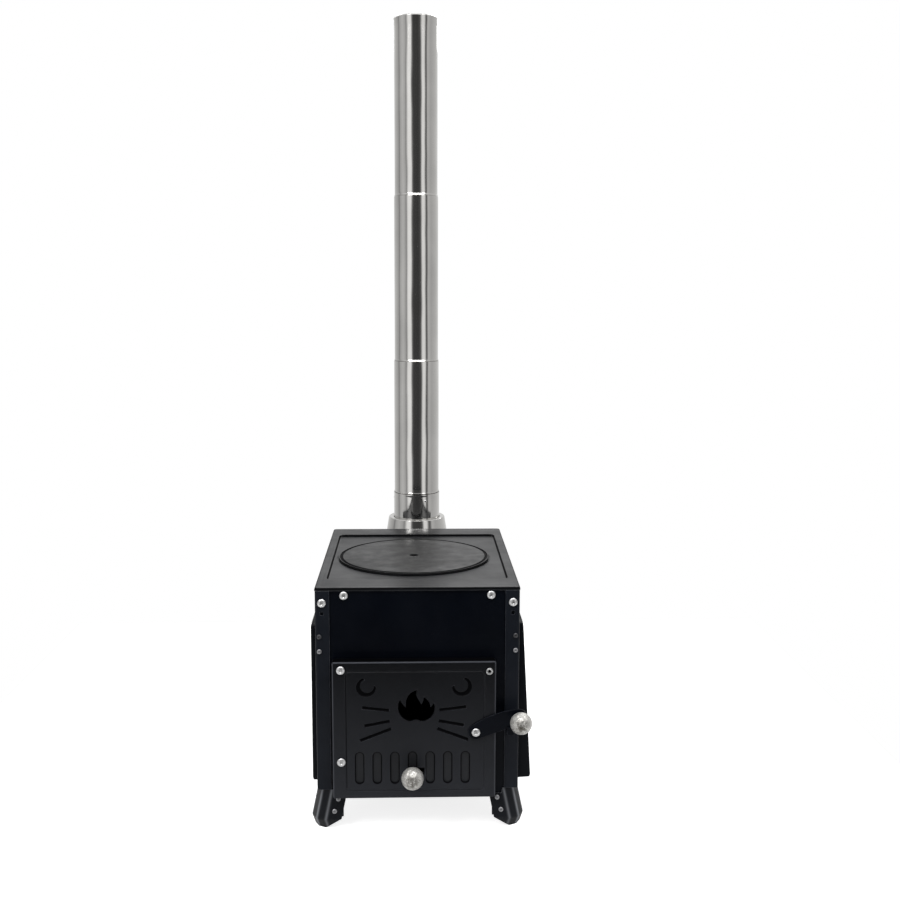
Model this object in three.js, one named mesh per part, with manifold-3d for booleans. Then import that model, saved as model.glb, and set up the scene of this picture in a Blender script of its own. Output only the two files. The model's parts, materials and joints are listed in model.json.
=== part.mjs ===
// A small wood stove for a tent: a sheet-steel firebox on four splayed legs, with a front door, an air
// damper, a lift-out cooking lid, two fold-down side shelves and a three-piece chimney behind it.
// Millimetres, +Z up, X to the right and Y to the back as seen from the door side.
import * as THREE from "three";
import { mergeVertices } from "three/addons/utils/BufferGeometryUtils.js";
import Module from "manifold-3d";

const wasm = await Module();
wasm.setup();

// ---------------------------------------------------------------- driving dimensions

// Whole stove
const width = 230; // top plate, left to right
const depth = 316; // top plate, front to back
const cookHeight = 280; // floor to the cooking surface
const legHeight = 44; // floor to the underside of the body
const sheet = 1.5; // steel sheet of the body and the door
const seat = 0.3; // air between two pieces that touch
const weld = 1; // overlap of two shapes that are joined into one piece
const overcut = 5; // how far a cutter reaches past what it cuts

// Top plate and its lift-out lid
const topThickness = 3.5;
const recessDepth = 2.2; // pressed-down middle of the top plate
const recessSideBorder = 11;
const recessEndBorder = 38.5;
const recessCorner = 7;
const lidRadius = 93.4;
const lidThickness = 3;
const lidShift = -4; // the lid sits a little left of the middle
const lidGap = 1.2; // between the lid and its hole
const lidPinhole = 3; // radius of the hole a lifting tool hooks into
const ledgeWidth = 7; // ring under the hole that carries the lid
const ledgeDrop = 1.3; // ring below the floor of the recess
const ledgeThickness = 2.2;
const ledgeLap = 3; // how far the ring reaches under the plate
const skirtHeight = 16; // flange under the top plate that the end panels screw to
const skirtEndGap = 2; // from each end of the flange to a side panel

// Corner posts
const postWidth = 16; // each flange of the angle
const postBend = 2.4; // outer radius of the fold
const postInset = 0.5; // post face inside the top plate's edge
const postHole = 4; // square hole near the top of each front post
const postHoleDrop = 29.4; // below the cooking surface

// Door
const doorWidth = 183;
const doorHeight = 159.5;
const doorDepth = 14;
const doorShift = -4; // the door sits a little left of the middle
const doorOverhang = 4.5; // door's lower edge below the underside of the body
const doorFace = 2; // thickness of the door's front
const doorStandoff = 1.8; // door rim to front panel
const doorLap = 14.5; // how far the door covers the panel round its opening
const doorRelief = 2; // lower left corner of the rim, cut back to swing clear of a leg's tab
const grooveDepth = 0.9; // pressed ornament
const border = { width: 2, depth: 0.63, side: 14, corner: 5 }; // line pressed inside the door's edge
const borderShift = { x: 2, top: 4, bottom: 6 }; // nearer the edge than border.side on these sides
const eyelet = { inset: 7.5, drop: 11.5, bore: 2, wall: 0.7, flange: 4.2, rise: 1.2 }; // near the free upper corner

// Door ornament: a cut-out flame with crescents and rays pressed beside it
const flameDrop = 51; // flame middle below the door's top
const crescent = { inset: 38, drop: 29, radius: 11, opening: 0.95, inner: 0.72, shift: 0.16 };
const rays = [
  { inner: [28, -5], outer: [58, -1.5] }, // from the flame's middle
  { inner: [27.5, -17.5], outer: [55.5, -23] },
  { inner: [26, -26.5], outer: [60.5, -40] },
];
const rayWidth = { inner: 2.4, outer: 3.2 };

// Air slots and their sliding damper
const slotMargin = 27; // at least, from the outermost slots to the door's sides
const slotPitch = 19.8;
const slotWidth = 8.5;
const slotHeight = 36;
const slotRise = 36; // slot middle above the door's lower edge
const slotShift = -2; // slot group from the door's middle
const damperThickness = 1.5;
const damperLap = 5; // damper beyond the slots' upper and lower ends
const damperEnds = { left: 1.2, right: 4 }; // damper beyond the outermost slots
const knobRadius = 12.5;
const knobRise = 32; // damper knob above the door's lower edge
const knobReach = 20; // knob centre in front of the door's face
const stemRadius = 2.2;
const knobNeck = 3.6; // radius of a knob where it meets its stem
const guide = { lip: 3, thickness: 1, width: 3, inset: 4 }; // strip that holds the damper to the door

// Door hinge
const hingePin = { radius: 1.15, inset: 4.3, setback: 8 }; // from the door's left edge and its rim
const hingePinPlay = 0.35;
const hingeKnuckleRadius = 2.5;
const hingeKnuckleHeight = 14;
const hingeFootHeight = 6;
const hingeLeaf = 15; // width of the leaf inside the door
const hingeFoot = { left: 2.4, right: 9, thickness: 1.1 }; // about the pin's axis
const hingeRib = { leaf: 1.5, foot: 1.2 }; // half-widths of the ribs that carry the knuckle and the pin
const hingeScrewInset = 9.7; // screw axis from the door's left edge
const hingeScrewDrops = { upper: 9, lower: 116 }; // below the door's top

// Latch lever
const latchPivotInset = 22.5; // pivot from the door's right edge
const latchPivotDrop = 81.5; // pivot below the door's top
const latchKnobInset = 0.8; // knob centre from the right post's outer face
const latchKnobRise = 17.7; // above the pivot
const latchThickness = 2;
const latchHalfWidth = 8.5;
const latchBulge = { along: 0.52, out: 1.95 }; // upper edge's control point, by length and half-width
const latchKnobRadius = 12.2;
const latchKnobReach = 20; // knob centre in front of the lever
const catchWidth = 8;
const catchInset = 1.5; // from the post's inner edge
const catchTail = 9; // strip below the floor of the catch
const catchLip = 7;
const catchRoom = 2.4; // in front of the lever
const catchBelowPivot = 1.3; // floor of the catch under the lever's pivot

// Side shelves
const shelfDepth = 19.5; // rim of the pan
const shelfProud = 6.5; // outer face beyond the post
const shelfTopDrop = 47; // below the cooking surface
const shelfBottomGap = 4; // above the underside of the body
const shelfSheet = 1.2;
const shelfPivotDrop = 55.7; // pivot bolt below the cooking surface
const shelfPivotInset = 4.5; // pivot bolt from the post's outer face
const shelfEndGap = 0.9; // between the pan and a post's side flange
const rightShelfAngle = THREE.MathUtils.degToRad(3.1); // the right shelf hangs a little open

// Firebox
const grateThickness = 3;
const grateHeight = 84; // floor of the room to the top of the grate
const grateBar = 9; // bar between two grate slots
const grateSlotCount = 12;
const grateGap = { side: 3, end: 6 }; // from the grate to the panels
const railSize = 13;
const railSheet = 1.5;
const railEndGap = 8; // from each end of a rail to a panel
const railMargin = 2; // solid strip of the grate beside a rail

// Legs
const legFlange = 35; // length of each web, corner included
const legCorner = { long: 16.6, short: 5.6 }; // the corner is folded three times, at these distances
const legSplay = 7; // outward sweep at the knee
const legToe = 4; // outward sweep that is left at the floor
const legKnee = 11; // height of the knee
const legToeWidth = 13.5; // what is left of each web on the floor
const legSlant = 12.2; // height of the slanted cut at each web's free edge
const legShoulderGap = 1; // from the end webs beside the corner up to the door
const legTab = { inset: 17.5, width: 12.5, foot: 14 }; // tab of an end panel that a leg is bolted to

// Flue and chimney
const flueBehind = 48; // chimney axis behind the top plate
const flueBoxWidth = 92;
const flueBoxHeight = 112;
const flueBoxDrop = 24; // flue box top below the cooking surface
const flueOpening = { width: 70, height: 72, drop: 14 }; // drop is from the top of the flue box
const pipeRadius = 29.4; // outside of the uppermost section
const pipeWall = 0.5;
const pipePlay = 0.4; // between telescoping sections
const pipeLength = 275;
const pipeReaches = { upper: 235, middle: 225, lower: 186 }; // what each section shows
const adapterRise = 44.3; // rim of the flue adapter above the cooking surface
const adapterLength = 98;
const beadHeight = 3;
const hemDrop = 10; // pressed line under the uppermost rim
const collarTop = { radius: 39, rise: 9 };
const collarSlope = 0.177;
const collarWall = 0.8;

// Fasteners
const screwHead = { radius: 4.7, height: 2.6 };
const smallHead = { radius: 2.7, height: 1.6 };
const shankRadius = 2;
const shankPlay = 0.3;
const nut = { radius: 3.6, height: 2.6 };
const smallNut = { radius: 2.6, height: 2 };
// Each inset is from a post's outer face.
const panelScrew = { inset: 32.1, drop: 9 };
const postScrew = { inset: 7.7, drop: 17 };
const postPinDrop = 72.8; // small screw under each front shelf bolt
const legBolts = {
  upper: { inset: 24, z: 34 },
  lower: { inset: 19.8, z: 20.5 },
};

const roundSteps = 48; // facets of the lid, the pipes and other large rounds
const smallSteps = 12; // facets of screws and other small rounds
const knobSteps = 20; // facets of the ball knobs

// ---------------------------------------------------------------- derived places

const postX = width / 2 - postInset; // outer face of a post's side flange
const postY = depth / 2; // outer face of a post's end flange
const panelOuter = postY - sheet - seat; // outer face of the front and rear panels
const panelInner = panelOuter - sheet;
const panelHalf = postX - sheet - seat;
const panelScrewX = postX - panelScrew.inset;
const postScrewX = postX - postScrew.inset;
const sideOuter = postX - postWidth - sheet; // outer face of a side panel
const sideInner = sideOuter - sheet;
const topUnder = cookHeight - topThickness;
const ledgeTop = cookHeight - recessDepth - ledgeDrop;
const ledgeUnder = ledgeTop - ledgeThickness;

const doorLeft = doorShift - doorWidth / 2;
const doorRight = doorShift + doorWidth / 2;
const doorBottom = legHeight - doorOverhang;
const doorTop = doorBottom + doorHeight;
const doorBack = -panelOuter - doorStandoff;
const doorFront = doorBack - doorDepth;
const doorInner = doorFront + doorFace;
const slotMiddle = doorShift + slotShift;
const slotCount = 1 + Math.floor((doorWidth - 2 * slotMargin - slotWidth) / slotPitch);
const slotZ = doorBottom + slotRise;
const damperTravel = slotPitch / 2;
const knobZ = doorBottom + knobRise;
const hingeX = doorLeft + hingePin.inset;
const hingeY = doorBack - hingePin.setback;
const latchX = doorRight - latchPivotInset;
const latchZ = doorTop - latchPivotDrop;
const latchReach = { x: postX - latchKnobInset - latchX, z: latchKnobRise }; // pivot to knob
const shelfPivotX = postX - shelfPivotInset;
const shelfPivotZ = cookHeight - shelfPivotDrop;
const shelfHalf = postY - postWidth - shelfEndGap;

const flueY = postY + flueBehind;
const flueBoxTop = cookHeight - flueBoxDrop;
const flueBoxBack = flueY + flueBoxWidth / 2;
const pipeStep = pipeWall + pipePlay; // each section is this much wider than the one above
const adapterRadius = pipeRadius + 3 * pipeStep;
const adapterRim = cookHeight + adapterRise;

// ---------------------------------------------------------------- materials

const paint = new THREE.MeshStandardMaterial({ color: 0x15171c, roughness: 0.42, metalness: 0.25 });
const doorPaint = new THREE.MeshStandardMaterial({ color: 0x1b1c1f, roughness: 0.5, metalness: 0.2 });
const castIron = new THREE.MeshStandardMaterial({ color: 0x1a1a1b, roughness: 0.7, metalness: 0.5 });
const stainless = new THREE.MeshStandardMaterial({ color: 0xc9c8c4, roughness: 0.14, metalness: 1 });
const polished = new THREE.MeshStandardMaterial({ color: 0xdcdad6, roughness: 0.08, metalness: 1 });
const zinc = new THREE.MeshStandardMaterial({ color: 0xd0d0ce, roughness: 0.3, metalness: 1 });

// ---------------------------------------------------------------- building blocks

// A closed geometry as a solid that can be joined and cut.
function solid(geometry) {
  const bare = geometry.clone();
  bare.deleteAttribute("normal");
  bare.deleteAttribute("uv");
  const merged = mergeVertices(bare, 1e-4);
  return new wasm.Manifold(
    new wasm.Mesh({
      numProp: 3,
      vertProperties: new Float32Array(merged.attributes.position.array),
      triVerts: new Uint32Array(merged.index.array),
    }),
  );
}

// A solid as a geometry again.
function geometryOf(made) {
  const mesh = made.getMesh();
  const geometry = new THREE.BufferGeometry();
  geometry.setAttribute("position", new THREE.BufferAttribute(mesh.vertProperties, 3));
  geometry.setIndex(new THREE.BufferAttribute(mesh.triVerts, 1));
  geometry.computeVertexNormals();
  return geometry;
}

// A block between two values along each axis, given in either order.
function block([x0, x1], [y0, y1], [z0, z1]) {
  const box = new THREE.BoxGeometry(Math.abs(x1 - x0), Math.abs(y1 - y0), Math.abs(z1 - z0));
  return box.translate((x0 + x1) / 2, (y0 + y1) / 2, (z0 + z1) / 2);
}

// A shape drawn in X and Y, raised from z0 to z1.
function raised(shape, z0, z1, curveSegments = 6) {
  const plate = new THREE.ExtrudeGeometry(shape, { depth: z1 - z0, bevelEnabled: false, curveSegments });
  return plate.translate(0, 0, z0);
}

// A shape drawn in X and Z as seen from the front, thickened from y0 back to y1.
function upright(shape, y0, y1, curveSegments = 6) {
  return raised(shape, -y1, -y0, curveSegments).rotateX(Math.PI / 2);
}

// A profile of [radius, height] points, turned about a vertical axis at x, y.
function turned(profile, x, y, steps = roundSteps) {
  const points = profile.map(([radius, height]) => new THREE.Vector2(radius, height));
  return new THREE.LatheGeometry(points, steps).rotateX(Math.PI / 2).translate(x, y, 0);
}

// A profile of [radius, reach] points about an axis along Y. Reach runs from y towards the front,
// or towards the back where facing is 1.
function turnedForward(profile, x, y, z, facing = -1, steps = smallSteps) {
  const points = profile.map(([radius, reach]) => new THREE.Vector2(radius, reach));
  const lathe = new THREE.LatheGeometry(points, steps);
  return (facing < 0 ? lathe.rotateX(Math.PI) : lathe).translate(x, y, z);
}

// A closed ring profile between two radii.
function ring(inner, outer, z0, z1) {
  return [
    [inner, z0],
    [outer, z0],
    [outer, z1],
    [inner, z1],
    [inner, z0],
  ];
}

// A plain round hole to cut along Y through a sheet between y0 and y1.
function drill(x, z, radius, y0, y1) {
  const length = Math.abs(y1 - y0) + 2;
  const pin = new THREE.CylinderGeometry(radius, radius, length, smallSteps);
  return solid(pin.translate(x, (y0 + y1) / 2, z));
}

// A rectangle with round corners.
function roundedRect(x0, x1, y0, y1, radius) {
  const shape = new THREE.Shape();
  shape.moveTo(x0 + radius, y0);
  shape.lineTo(x1 - radius, y0);
  shape.absarc(x1 - radius, y0 + radius, radius, -Math.PI / 2, 0);
  shape.lineTo(x1, y1 - radius);
  shape.absarc(x1 - radius, y1 - radius, radius, 0, Math.PI / 2);
  shape.lineTo(x0 + radius, y1);
  shape.absarc(x0 + radius, y1 - radius, radius, Math.PI / 2, Math.PI);
  shape.lineTo(x0, y0 + radius);
  shape.absarc(x0 + radius, y0 + radius, radius, Math.PI, 1.5 * Math.PI);
  return shape;
}

// A closed outline through straight corners.
function polygon(corners) {
  return new THREE.Shape(corners.map(([x, y]) => new THREE.Vector2(x, y)));
}

// Corners of a folded sheet whose outer face runs through the points. The sheet lies to their left.
function foldedSheet(points, thickness) {
  const directions = points.slice(1).map(([x, y], i) => {
    const [x0, y0] = points[i];
    const length = Math.hypot(x - x0, y - y0);
    return [(x - x0) / length, (y - y0) / length];
  });
  const inner = points.map(([x, y], i) => {
    const [ax, ay] = directions[Math.max(i - 1, 0)];
    const [bx, by] = directions[Math.min(i, directions.length - 1)];
    const reach = thickness / (1 + ax * bx + ay * by);
    return [x - (ay + by) * reach, y + (ax + bx) * reach];
  });
  return [...points, ...inner.reverse()];
}

function subtractAll(body, cutters) {
  return cutters.reduce((left, cutter) => left.subtract(cutter), body);
}

const stove = new THREE.Group();

function add(name, geometry, material, parent = stove) {
  const mesh = new THREE.Mesh(geometry, material);
  mesh.name = name;
  parent.add(mesh);
  return mesh;
}

const sides = { left: -1, right: 1 };
const ends = { front: -1, rear: 1 };

// ---------------------------------------------------------------- fasteners

// Profile of a domed screw: the head stands on reach 0, the shank runs back to a round nut.
// grip is the thickness between the head and the nut.
function screwProfile(head, grip, nutSize = nut) {
  return [
    [0, -grip - nutSize.height],
    [nutSize.radius, -grip - nutSize.height],
    [nutSize.radius, -grip],
    [shankRadius, -grip],
    [shankRadius, 0],
    [head.radius, 0],
    [head.radius, head.height * 0.45],
    [head.radius * 0.62, head.height * 0.9],
    [0, head.height],
  ];
}

// A screw whose head bears on a face at y and looks forward or back.
function addScrew(name, head, x, y, z, grip, facing, nutSize = nut) {
  const lift = facing * seat;
  const profile = screwProfile(head, grip + 2 * seat, nutSize);
  add(name, turnedForward(profile, x, y + lift, z, facing), zinc);
}

function screwHole(x, z, y0, y1) {
  return drill(x, z, shankRadius + shankPlay, y0, y1);
}

function stemHole(x, z, y0, y1) {
  return drill(x, z, stemRadius + shankPlay, y0, y1);
}

// ---------------------------------------------------------------- top plate and lid

function topPlate() {
  const plate = solid(block([-width / 2, width / 2], [-depth / 2, depth / 2], [topUnder, cookHeight]));
  const recess = roundedRect(
    -width / 2 + recessSideBorder,
    width / 2 - recessSideBorder,
    -depth / 2 + recessEndBorder,
    depth / 2 - recessEndBorder,
    recessCorner,
  );
  const holeRadius = lidRadius + lidGap;
  const hole = new THREE.CylinderGeometry(holeRadius, holeRadius, 2 * (topThickness + overcut), roundSteps);
  hole.rotateX(Math.PI / 2).translate(lidShift, 0, cookHeight);
  const ledge = turned(ring(lidRadius - ledgeWidth, holeRadius + ledgeLap, ledgeUnder, ledgeTop), lidShift, 0);
  const skirts = Object.values(ends).map((end) =>
    solid(
      block(
        [-sideInner + skirtEndGap, sideInner - skirtEndGap],
        [end * (panelInner - seat), end * (panelInner - seat - sheet)],
        [topUnder - skirtHeight, topUnder + weld],
      ),
    ),
  );
  const pressed = subtractAll(plate, [
    solid(raised(recess, cookHeight - recessDepth, cookHeight + overcut)),
    solid(hole),
  ]);
  const whole = skirts.reduce((body, skirt) => body.add(skirt), pressed.add(solid(ledge)));
  const holes = Object.values(sides).map((side) =>
    screwHole(side * panelScrewX, cookHeight - panelScrew.drop, -panelOuter, -panelInner + 3 * sheet),
  );
  return geometryOf(subtractAll(whole, holes));
}

function cookLid() {
  const bottom = ledgeTop + seat;
  const top = bottom + lidThickness;
  const profile = [
    [lidPinhole, bottom],
    [lidRadius - 0.6, bottom],
    [lidRadius, bottom + 0.6],
    [lidRadius, top - 0.7],
    [lidRadius - 0.7, top],
    [lidPinhole, top],
    [lidPinhole, bottom],
  ];
  return turned(profile, lidShift, 0);
}

add("top_plate", topPlate(), paint);
add("cook_lid", cookLid(), castIron);

// ---------------------------------------------------------------- firebox shell

const panelFloor = legHeight + sheet + seat;
const doorOpening = {
  x: [doorLeft + doorLap, doorRight - doorLap],
  z: [doorBottom + doorLap, doorTop - doorLap],
};
const flueOpeningTop = flueBoxTop - flueOpening.drop;
const flueOpeningZ = [flueOpeningTop - flueOpening.height, flueOpeningTop];

// Outward sweep of a leg at a height: out to the knee, then back in to the toe.
function legSweep(z) {
  return z > legKnee
    ? (legSplay * (legHeight - z)) / (legHeight - legKnee)
    : legToe + ((legSplay - legToe) * z) / legKnee;
}

const legTilt = Math.atan2(legSplay, legHeight - legKnee);

// Moves a fastener, made along Y at the origin, onto the tilted end web of a leg.
function ontoLeg(geometry, bolt, side, end) {
  return geometry.rotateX(end * legTilt).translate(side * (postX - bolt.inset), end * (postY + legSweep(bolt.z)), bolt.z);
}

function legHoles(side, end) {
  const radius = shankRadius + shankPlay;
  return Object.values(legBolts).map((bolt) =>
    solid(ontoLeg(new THREE.CylinderGeometry(radius, radius, 8 * sheet, smallSteps), bolt, side, end)),
  );
}

// A tab below an end panel, bent outwards along the leg that is bolted to it.
function panelTab(side, end) {
  const sweep = legSweep(legTab.foot);
  const outline = polygon([
    [end * panelInner, panelFloor + sheet],
    [end * panelInner, legHeight],
    [end * (panelInner + sweep), legTab.foot],
    [end * (panelOuter + sweep), legTab.foot],
    [end * panelOuter, legHeight],
    [end * panelOuter, panelFloor + sheet],
  ]);
  const half = legTab.width / 2;
  // Drawn in X and Z, then turned so that it is seen from the side.
  const tab = upright(outline, -half, half).rotateZ(Math.PI / 2);
  return tab.translate(side * (postX - legTab.inset - half), 0, 0);
}

// Front and rear panels: flat sheets between the base and the top plate.
function endPanel(end) {
  const skin = [end * panelInner, end * panelOuter];
  const isFront = end === ends.front;
  const through = [skin[0] - overcut, skin[0] + overcut];
  const opening = isFront
    ? block(doorOpening.x, through, doorOpening.z)
    : block([-flueOpening.width / 2, flueOpening.width / 2], through, flueOpeningZ);
  const cuts = [solid(opening)];
  let whole = solid(block([-panelHalf, panelHalf], skin, [panelFloor, topUnder - seat]));
  for (const side of Object.values(sides)) {
    whole = whole.add(solid(panelTab(side, end)));
    cuts.push(...legHoles(side, end));
    cuts.push(screwHole(side * postScrewX, cookHeight - postScrew.drop, ...skin));
    cuts.push(screwHole(side * shelfPivotX, shelfPivotZ, ...skin));
    if (isFront) {
      cuts.push(screwHole(side * panelScrewX, cookHeight - panelScrew.drop, ...skin));
      cuts.push(screwHole(side * shelfPivotX, cookHeight - postPinDrop, ...skin));
    }
  }
  return geometryOf(subtractAll(whole, cuts));
}

add("front_panel", endPanel(ends.front), paint);
add("rear_panel", endPanel(ends.rear), paint);

for (const [name, side] of Object.entries(sides)) {
  const skin = [side * sideInner, side * sideOuter];
  const run = [-panelInner + seat, panelInner - seat];
  add(`side_panel_${name}`, block(skin, run, [panelFloor, ledgeUnder - seat]), paint);
}

// The base is a flat sheet under the four panels.
const baseHalf = { x: sideOuter, y: panelInner - seat };
const baseHeight = [legHeight, legHeight + sheet];
add("base_plate", block([-baseHalf.x, baseHalf.x], [-baseHalf.y, baseHalf.y], baseHeight), paint);

// ---------------------------------------------------------------- corner posts

// An angle that wraps a corner of the firebox.
function cornerPost(side, end) {
  const foot = legHeight + seat;
  const head = topUnder - seat;
  const outline = new THREE.Shape();
  outline.moveTo(side * (postX - postWidth), end * postY);
  outline.lineTo(side * (postX - postWidth), end * (postY - sheet));
  outline.lineTo(side * (postX - sheet), end * (postY - sheet));
  outline.lineTo(side * (postX - sheet), end * (postY - postWidth));
  outline.lineTo(side * postX, end * (postY - postWidth));
  outline.lineTo(side * postX, end * (postY - postBend));
  outline.quadraticCurveTo(side * postX, end * postY, side * (postX - postBend), end * postY);
  const skin = [end * postY, end * (postY - sheet)];
  const cuts = [
    screwHole(side * postScrewX, cookHeight - postScrew.drop, ...skin),
    screwHole(side * shelfPivotX, shelfPivotZ, ...skin),
  ];
  if (end === ends.front) {
    const half = postHole / 2;
    const x = side * postScrewX;
    const z = cookHeight - postHoleDrop;
    cuts.push(screwHole(side * shelfPivotX, cookHeight - postPinDrop, ...skin));
    cuts.push(solid(block([x - half, x + half], [skin[0] - overcut, skin[0] + overcut], [z - half, z + half])));
  }
  return geometryOf(subtractAll(solid(raised(outline, foot, head, 4)), cuts));
}

// ---------------------------------------------------------------- legs

// A splayed corner leg: a web along the end, a web along the side, and a pad to stand on.
function leg(side, end) {
  const { long, short } = legCorner;
  // Distances inwards from the post's outer corner, as a place seen from above.
  const corner = ([u, v], sweep = 0) => [side * (postX + sweep - u), end * (postY + sweep - v)];
  const outerFace = [
    [0, legFlange],
    [0, long],
    [short, short],
    [long, 0],
    [legFlange, 0],
  ];
  const section = polygon(foldedSheet(outerFace, sheet).map((point) => corner(point)));
  const webs = new THREE.ExtrudeGeometry(section, { depth: legHeight, steps: 4, bevelEnabled: false });
  const places = webs.attributes.position;
  for (let i = 0; i < places.count; i += 1) {
    const sweep = legSweep(places.getZ(i));
    places.setX(i, places.getX(i) + side * sweep);
    places.setY(i, places.getY(i) + end * sweep);
  }
  const facet = (short * (long - legToeWidth)) / (long - short) + sheet / 2;
  const pad = polygon(
    [
      [legToeWidth, facet],
      [short + sheet / 2, short + sheet / 2],
      [facet, legToeWidth],
      [legToeWidth, legToeWidth],
    ].map((point) => corner(point, legToe)),
  );
  // The free lower corner of each web is cut away on a slant.
  const slant = (outer, direction) => {
    const free = outer + legSplay - legFlange;
    const rise = legSlant / (outer + legToe - legToeWidth - free);
    const beyond = free - overcut;
    return polygon([
      [direction * (outer + legToe - legToeWidth), 0],
      [direction * beyond, legSlant + overcut * rise],
      [direction * beyond, -overcut],
      [direction * (outer + legToe - legToeWidth), -overcut],
    ]);
  };
  const endCut = upright(slant(postX, side), end * postY - 2 * legSplay, end * postY + 2 * legSplay);
  const sideCut = upright(slant(postY, end), -2 * legSplay, 2 * legSplay).rotateZ(Math.PI / 2);
  sideCut.translate(side * postX, 0, 0);
  // Beside the corner, in front of the panel's tab, the end web ends lower, under the door.
  const inward = side * (postX - legTab.inset);
  const across = [end * (postY - overcut), end * (postY + overcut)];
  const shoulder = block([0, inward], across, [doorBottom - legShoulderGap, legHeight + overcut]);
  const standing = solid(webs).add(solid(raised(pad, 0, sheet)));
  return geometryOf(subtractAll(standing, [...[endCut, sideCut, shoulder].map(solid), ...legHoles(side, end)]));
}

for (const [endName, end] of Object.entries(ends)) {
  for (const [sideName, side] of Object.entries(sides)) {
    add(`post_${endName}_${sideName}`, cornerPost(side, end), paint);
    add(`leg_${endName}_${sideName}`, leg(side, end), paint);
    for (const [boltName, bolt] of Object.entries(legBolts)) {
      const profile = screwProfile(smallHead, 2 * sheet + 3 * seat);
      const turnedBolt = turnedForward(profile, 0, end * seat, 0, end);
      add(`leg_bolt_${boltName}_${endName}_${sideName}`, ontoLeg(turnedBolt, bolt, side, end), zinc);
    }
    const shelfGrip = postWidth + shelfEndGap + shelfSheet;
    addScrew(
      `shelf_bolt_${endName}_${sideName}`,
      smallHead,
      side * shelfPivotX,
      end * postY,
      shelfPivotZ,
      shelfGrip,
      end,
    );
  }
}

for (const [name, side] of Object.entries(sides)) {
  const face = ends.front * postY;
  const panelFace = ends.front * panelOuter;
  const grip = 2 * sheet + seat;
  addScrew(`post_screw_${name}`, screwHead, side * postScrewX, face, cookHeight - postScrew.drop, grip, -1);
  addScrew(`panel_screw_${name}`, screwHead, side * panelScrewX, panelFace, cookHeight - panelScrew.drop, grip, -1);
  addScrew(`post_pin_${name}`, smallHead, side * shelfPivotX, face, cookHeight - postPinDrop, grip, -1, smallNut);
}

// ---------------------------------------------------------------- grate

// Two angles on the side panels carry the slotted grate.
const railTop = grateHeight - grateThickness - seat;
for (const [name, side] of Object.entries(sides)) {
  const wall = sideInner - seat;
  const outline = polygon([
    [side * wall, railTop],
    [side * (wall - railSize), railTop],
    [side * (wall - railSize), railTop - railSheet],
    [side * (wall - railSheet), railTop - railSheet],
    [side * (wall - railSheet), railTop - railSize],
    [side * wall, railTop - railSize],
  ]);
  add(`grate_rail_${name}`, upright(outline, -panelInner + railEndGap, panelInner - railEndGap), paint);
}

function fireGrate() {
  const half = { x: sideInner - grateGap.side, y: panelInner - grateGap.end };
  const plate = block([-half.x, half.x], [-half.y, half.y], [grateHeight - grateThickness, grateHeight]);
  const pitch = (2 * half.y - 2 * grateBar) / grateSlotCount;
  const cuts = [];
  for (let i = 0; i < grateSlotCount; i += 1) {
    const y = -half.y + grateBar + pitch * i;
    for (const side of Object.values(sides)) {
      const run = [side * (grateBar / 2), side * (half.x - railSize - railMargin)];
      const gap = [y + grateBar / 2, y + pitch - grateBar / 2];
      cuts.push(solid(block(run, gap, [grateHeight - overcut, grateHeight + overcut])));
    }
  }
  return geometryOf(subtractAll(solid(plate), cuts));
}

add("fire_grate", fireGrate(), castIron);

// ---------------------------------------------------------------- door

// An upright obround slot as seen from the front.
function obround(x, z, w, h) {
  return roundedRect(x - w / 2, x + w / 2, z - h / 2, z + h / 2, w / 2 - 0.01);
}

// Three-tongued flame round x, z.
function flameShape(x, z) {
  const shape = new THREE.Shape();
  shape.moveTo(x - 6, z - 18);
  shape.bezierCurveTo(x - 17, z - 16, x - 23, z - 5, x - 18, z + 7);
  shape.bezierCurveTo(x - 16, z + 2, x - 13, z - 1, x - 11, z - 2);
  shape.bezierCurveTo(x - 12, z + 8, x - 9, z + 15, x + 1, z + 18.5);
  shape.bezierCurveTo(x - 2, z + 11, x + 3, z + 8, x + 6, z + 1);
  shape.bezierCurveTo(x + 8, z + 4, x + 9, z + 7, x + 9, z + 10);
  shape.bezierCurveTo(x + 14, z + 6, x + 16, z + 2, x + 16, z - 2);
  shape.bezierCurveTo(x + 18, z - 1, x + 19, z + 1, x + 20, z + 3);
  shape.bezierCurveTo(x + 23, z - 9, x + 16, z - 17, x + 6, z - 18);
  shape.quadraticCurveTo(x, z - 14, x - 6, z - 18);
  return shape;
}

// A crescent of outer radius r whose open side looks towards an angle.
function crescentShape(x, z, r, angle) {
  const shape = new THREE.Shape();
  const open = crescent.opening;
  const inner = r * crescent.inner;
  const shift = r * crescent.shift;
  const cx = x + Math.cos(angle) * shift;
  const cz = z + Math.sin(angle) * shift;
  shape.absarc(x, z, r, angle + open, angle - open + 2 * Math.PI);
  shape.absarc(cx, cz, inner, angle - open + 2 * Math.PI, angle + open, true);
  return shape;
}

// A stroke between two points that is wider at its outer end.
function strokeShape([x0, z0], [x1, z1], w0, w1) {
  const length = Math.hypot(x1 - x0, z1 - z0);
  const nx = -(z1 - z0) / length;
  const nz = (x1 - x0) / length;
  return polygon([
    [x0 + (nx * w0) / 2, z0 + (nz * w0) / 2],
    [x1 + (nx * w1) / 2, z1 + (nz * w1) / 2],
    [x1 - (nx * w1) / 2, z1 - (nz * w1) / 2],
    [x0 - (nx * w0) / 2, z0 - (nz * w0) / 2],
  ]);
}

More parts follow.
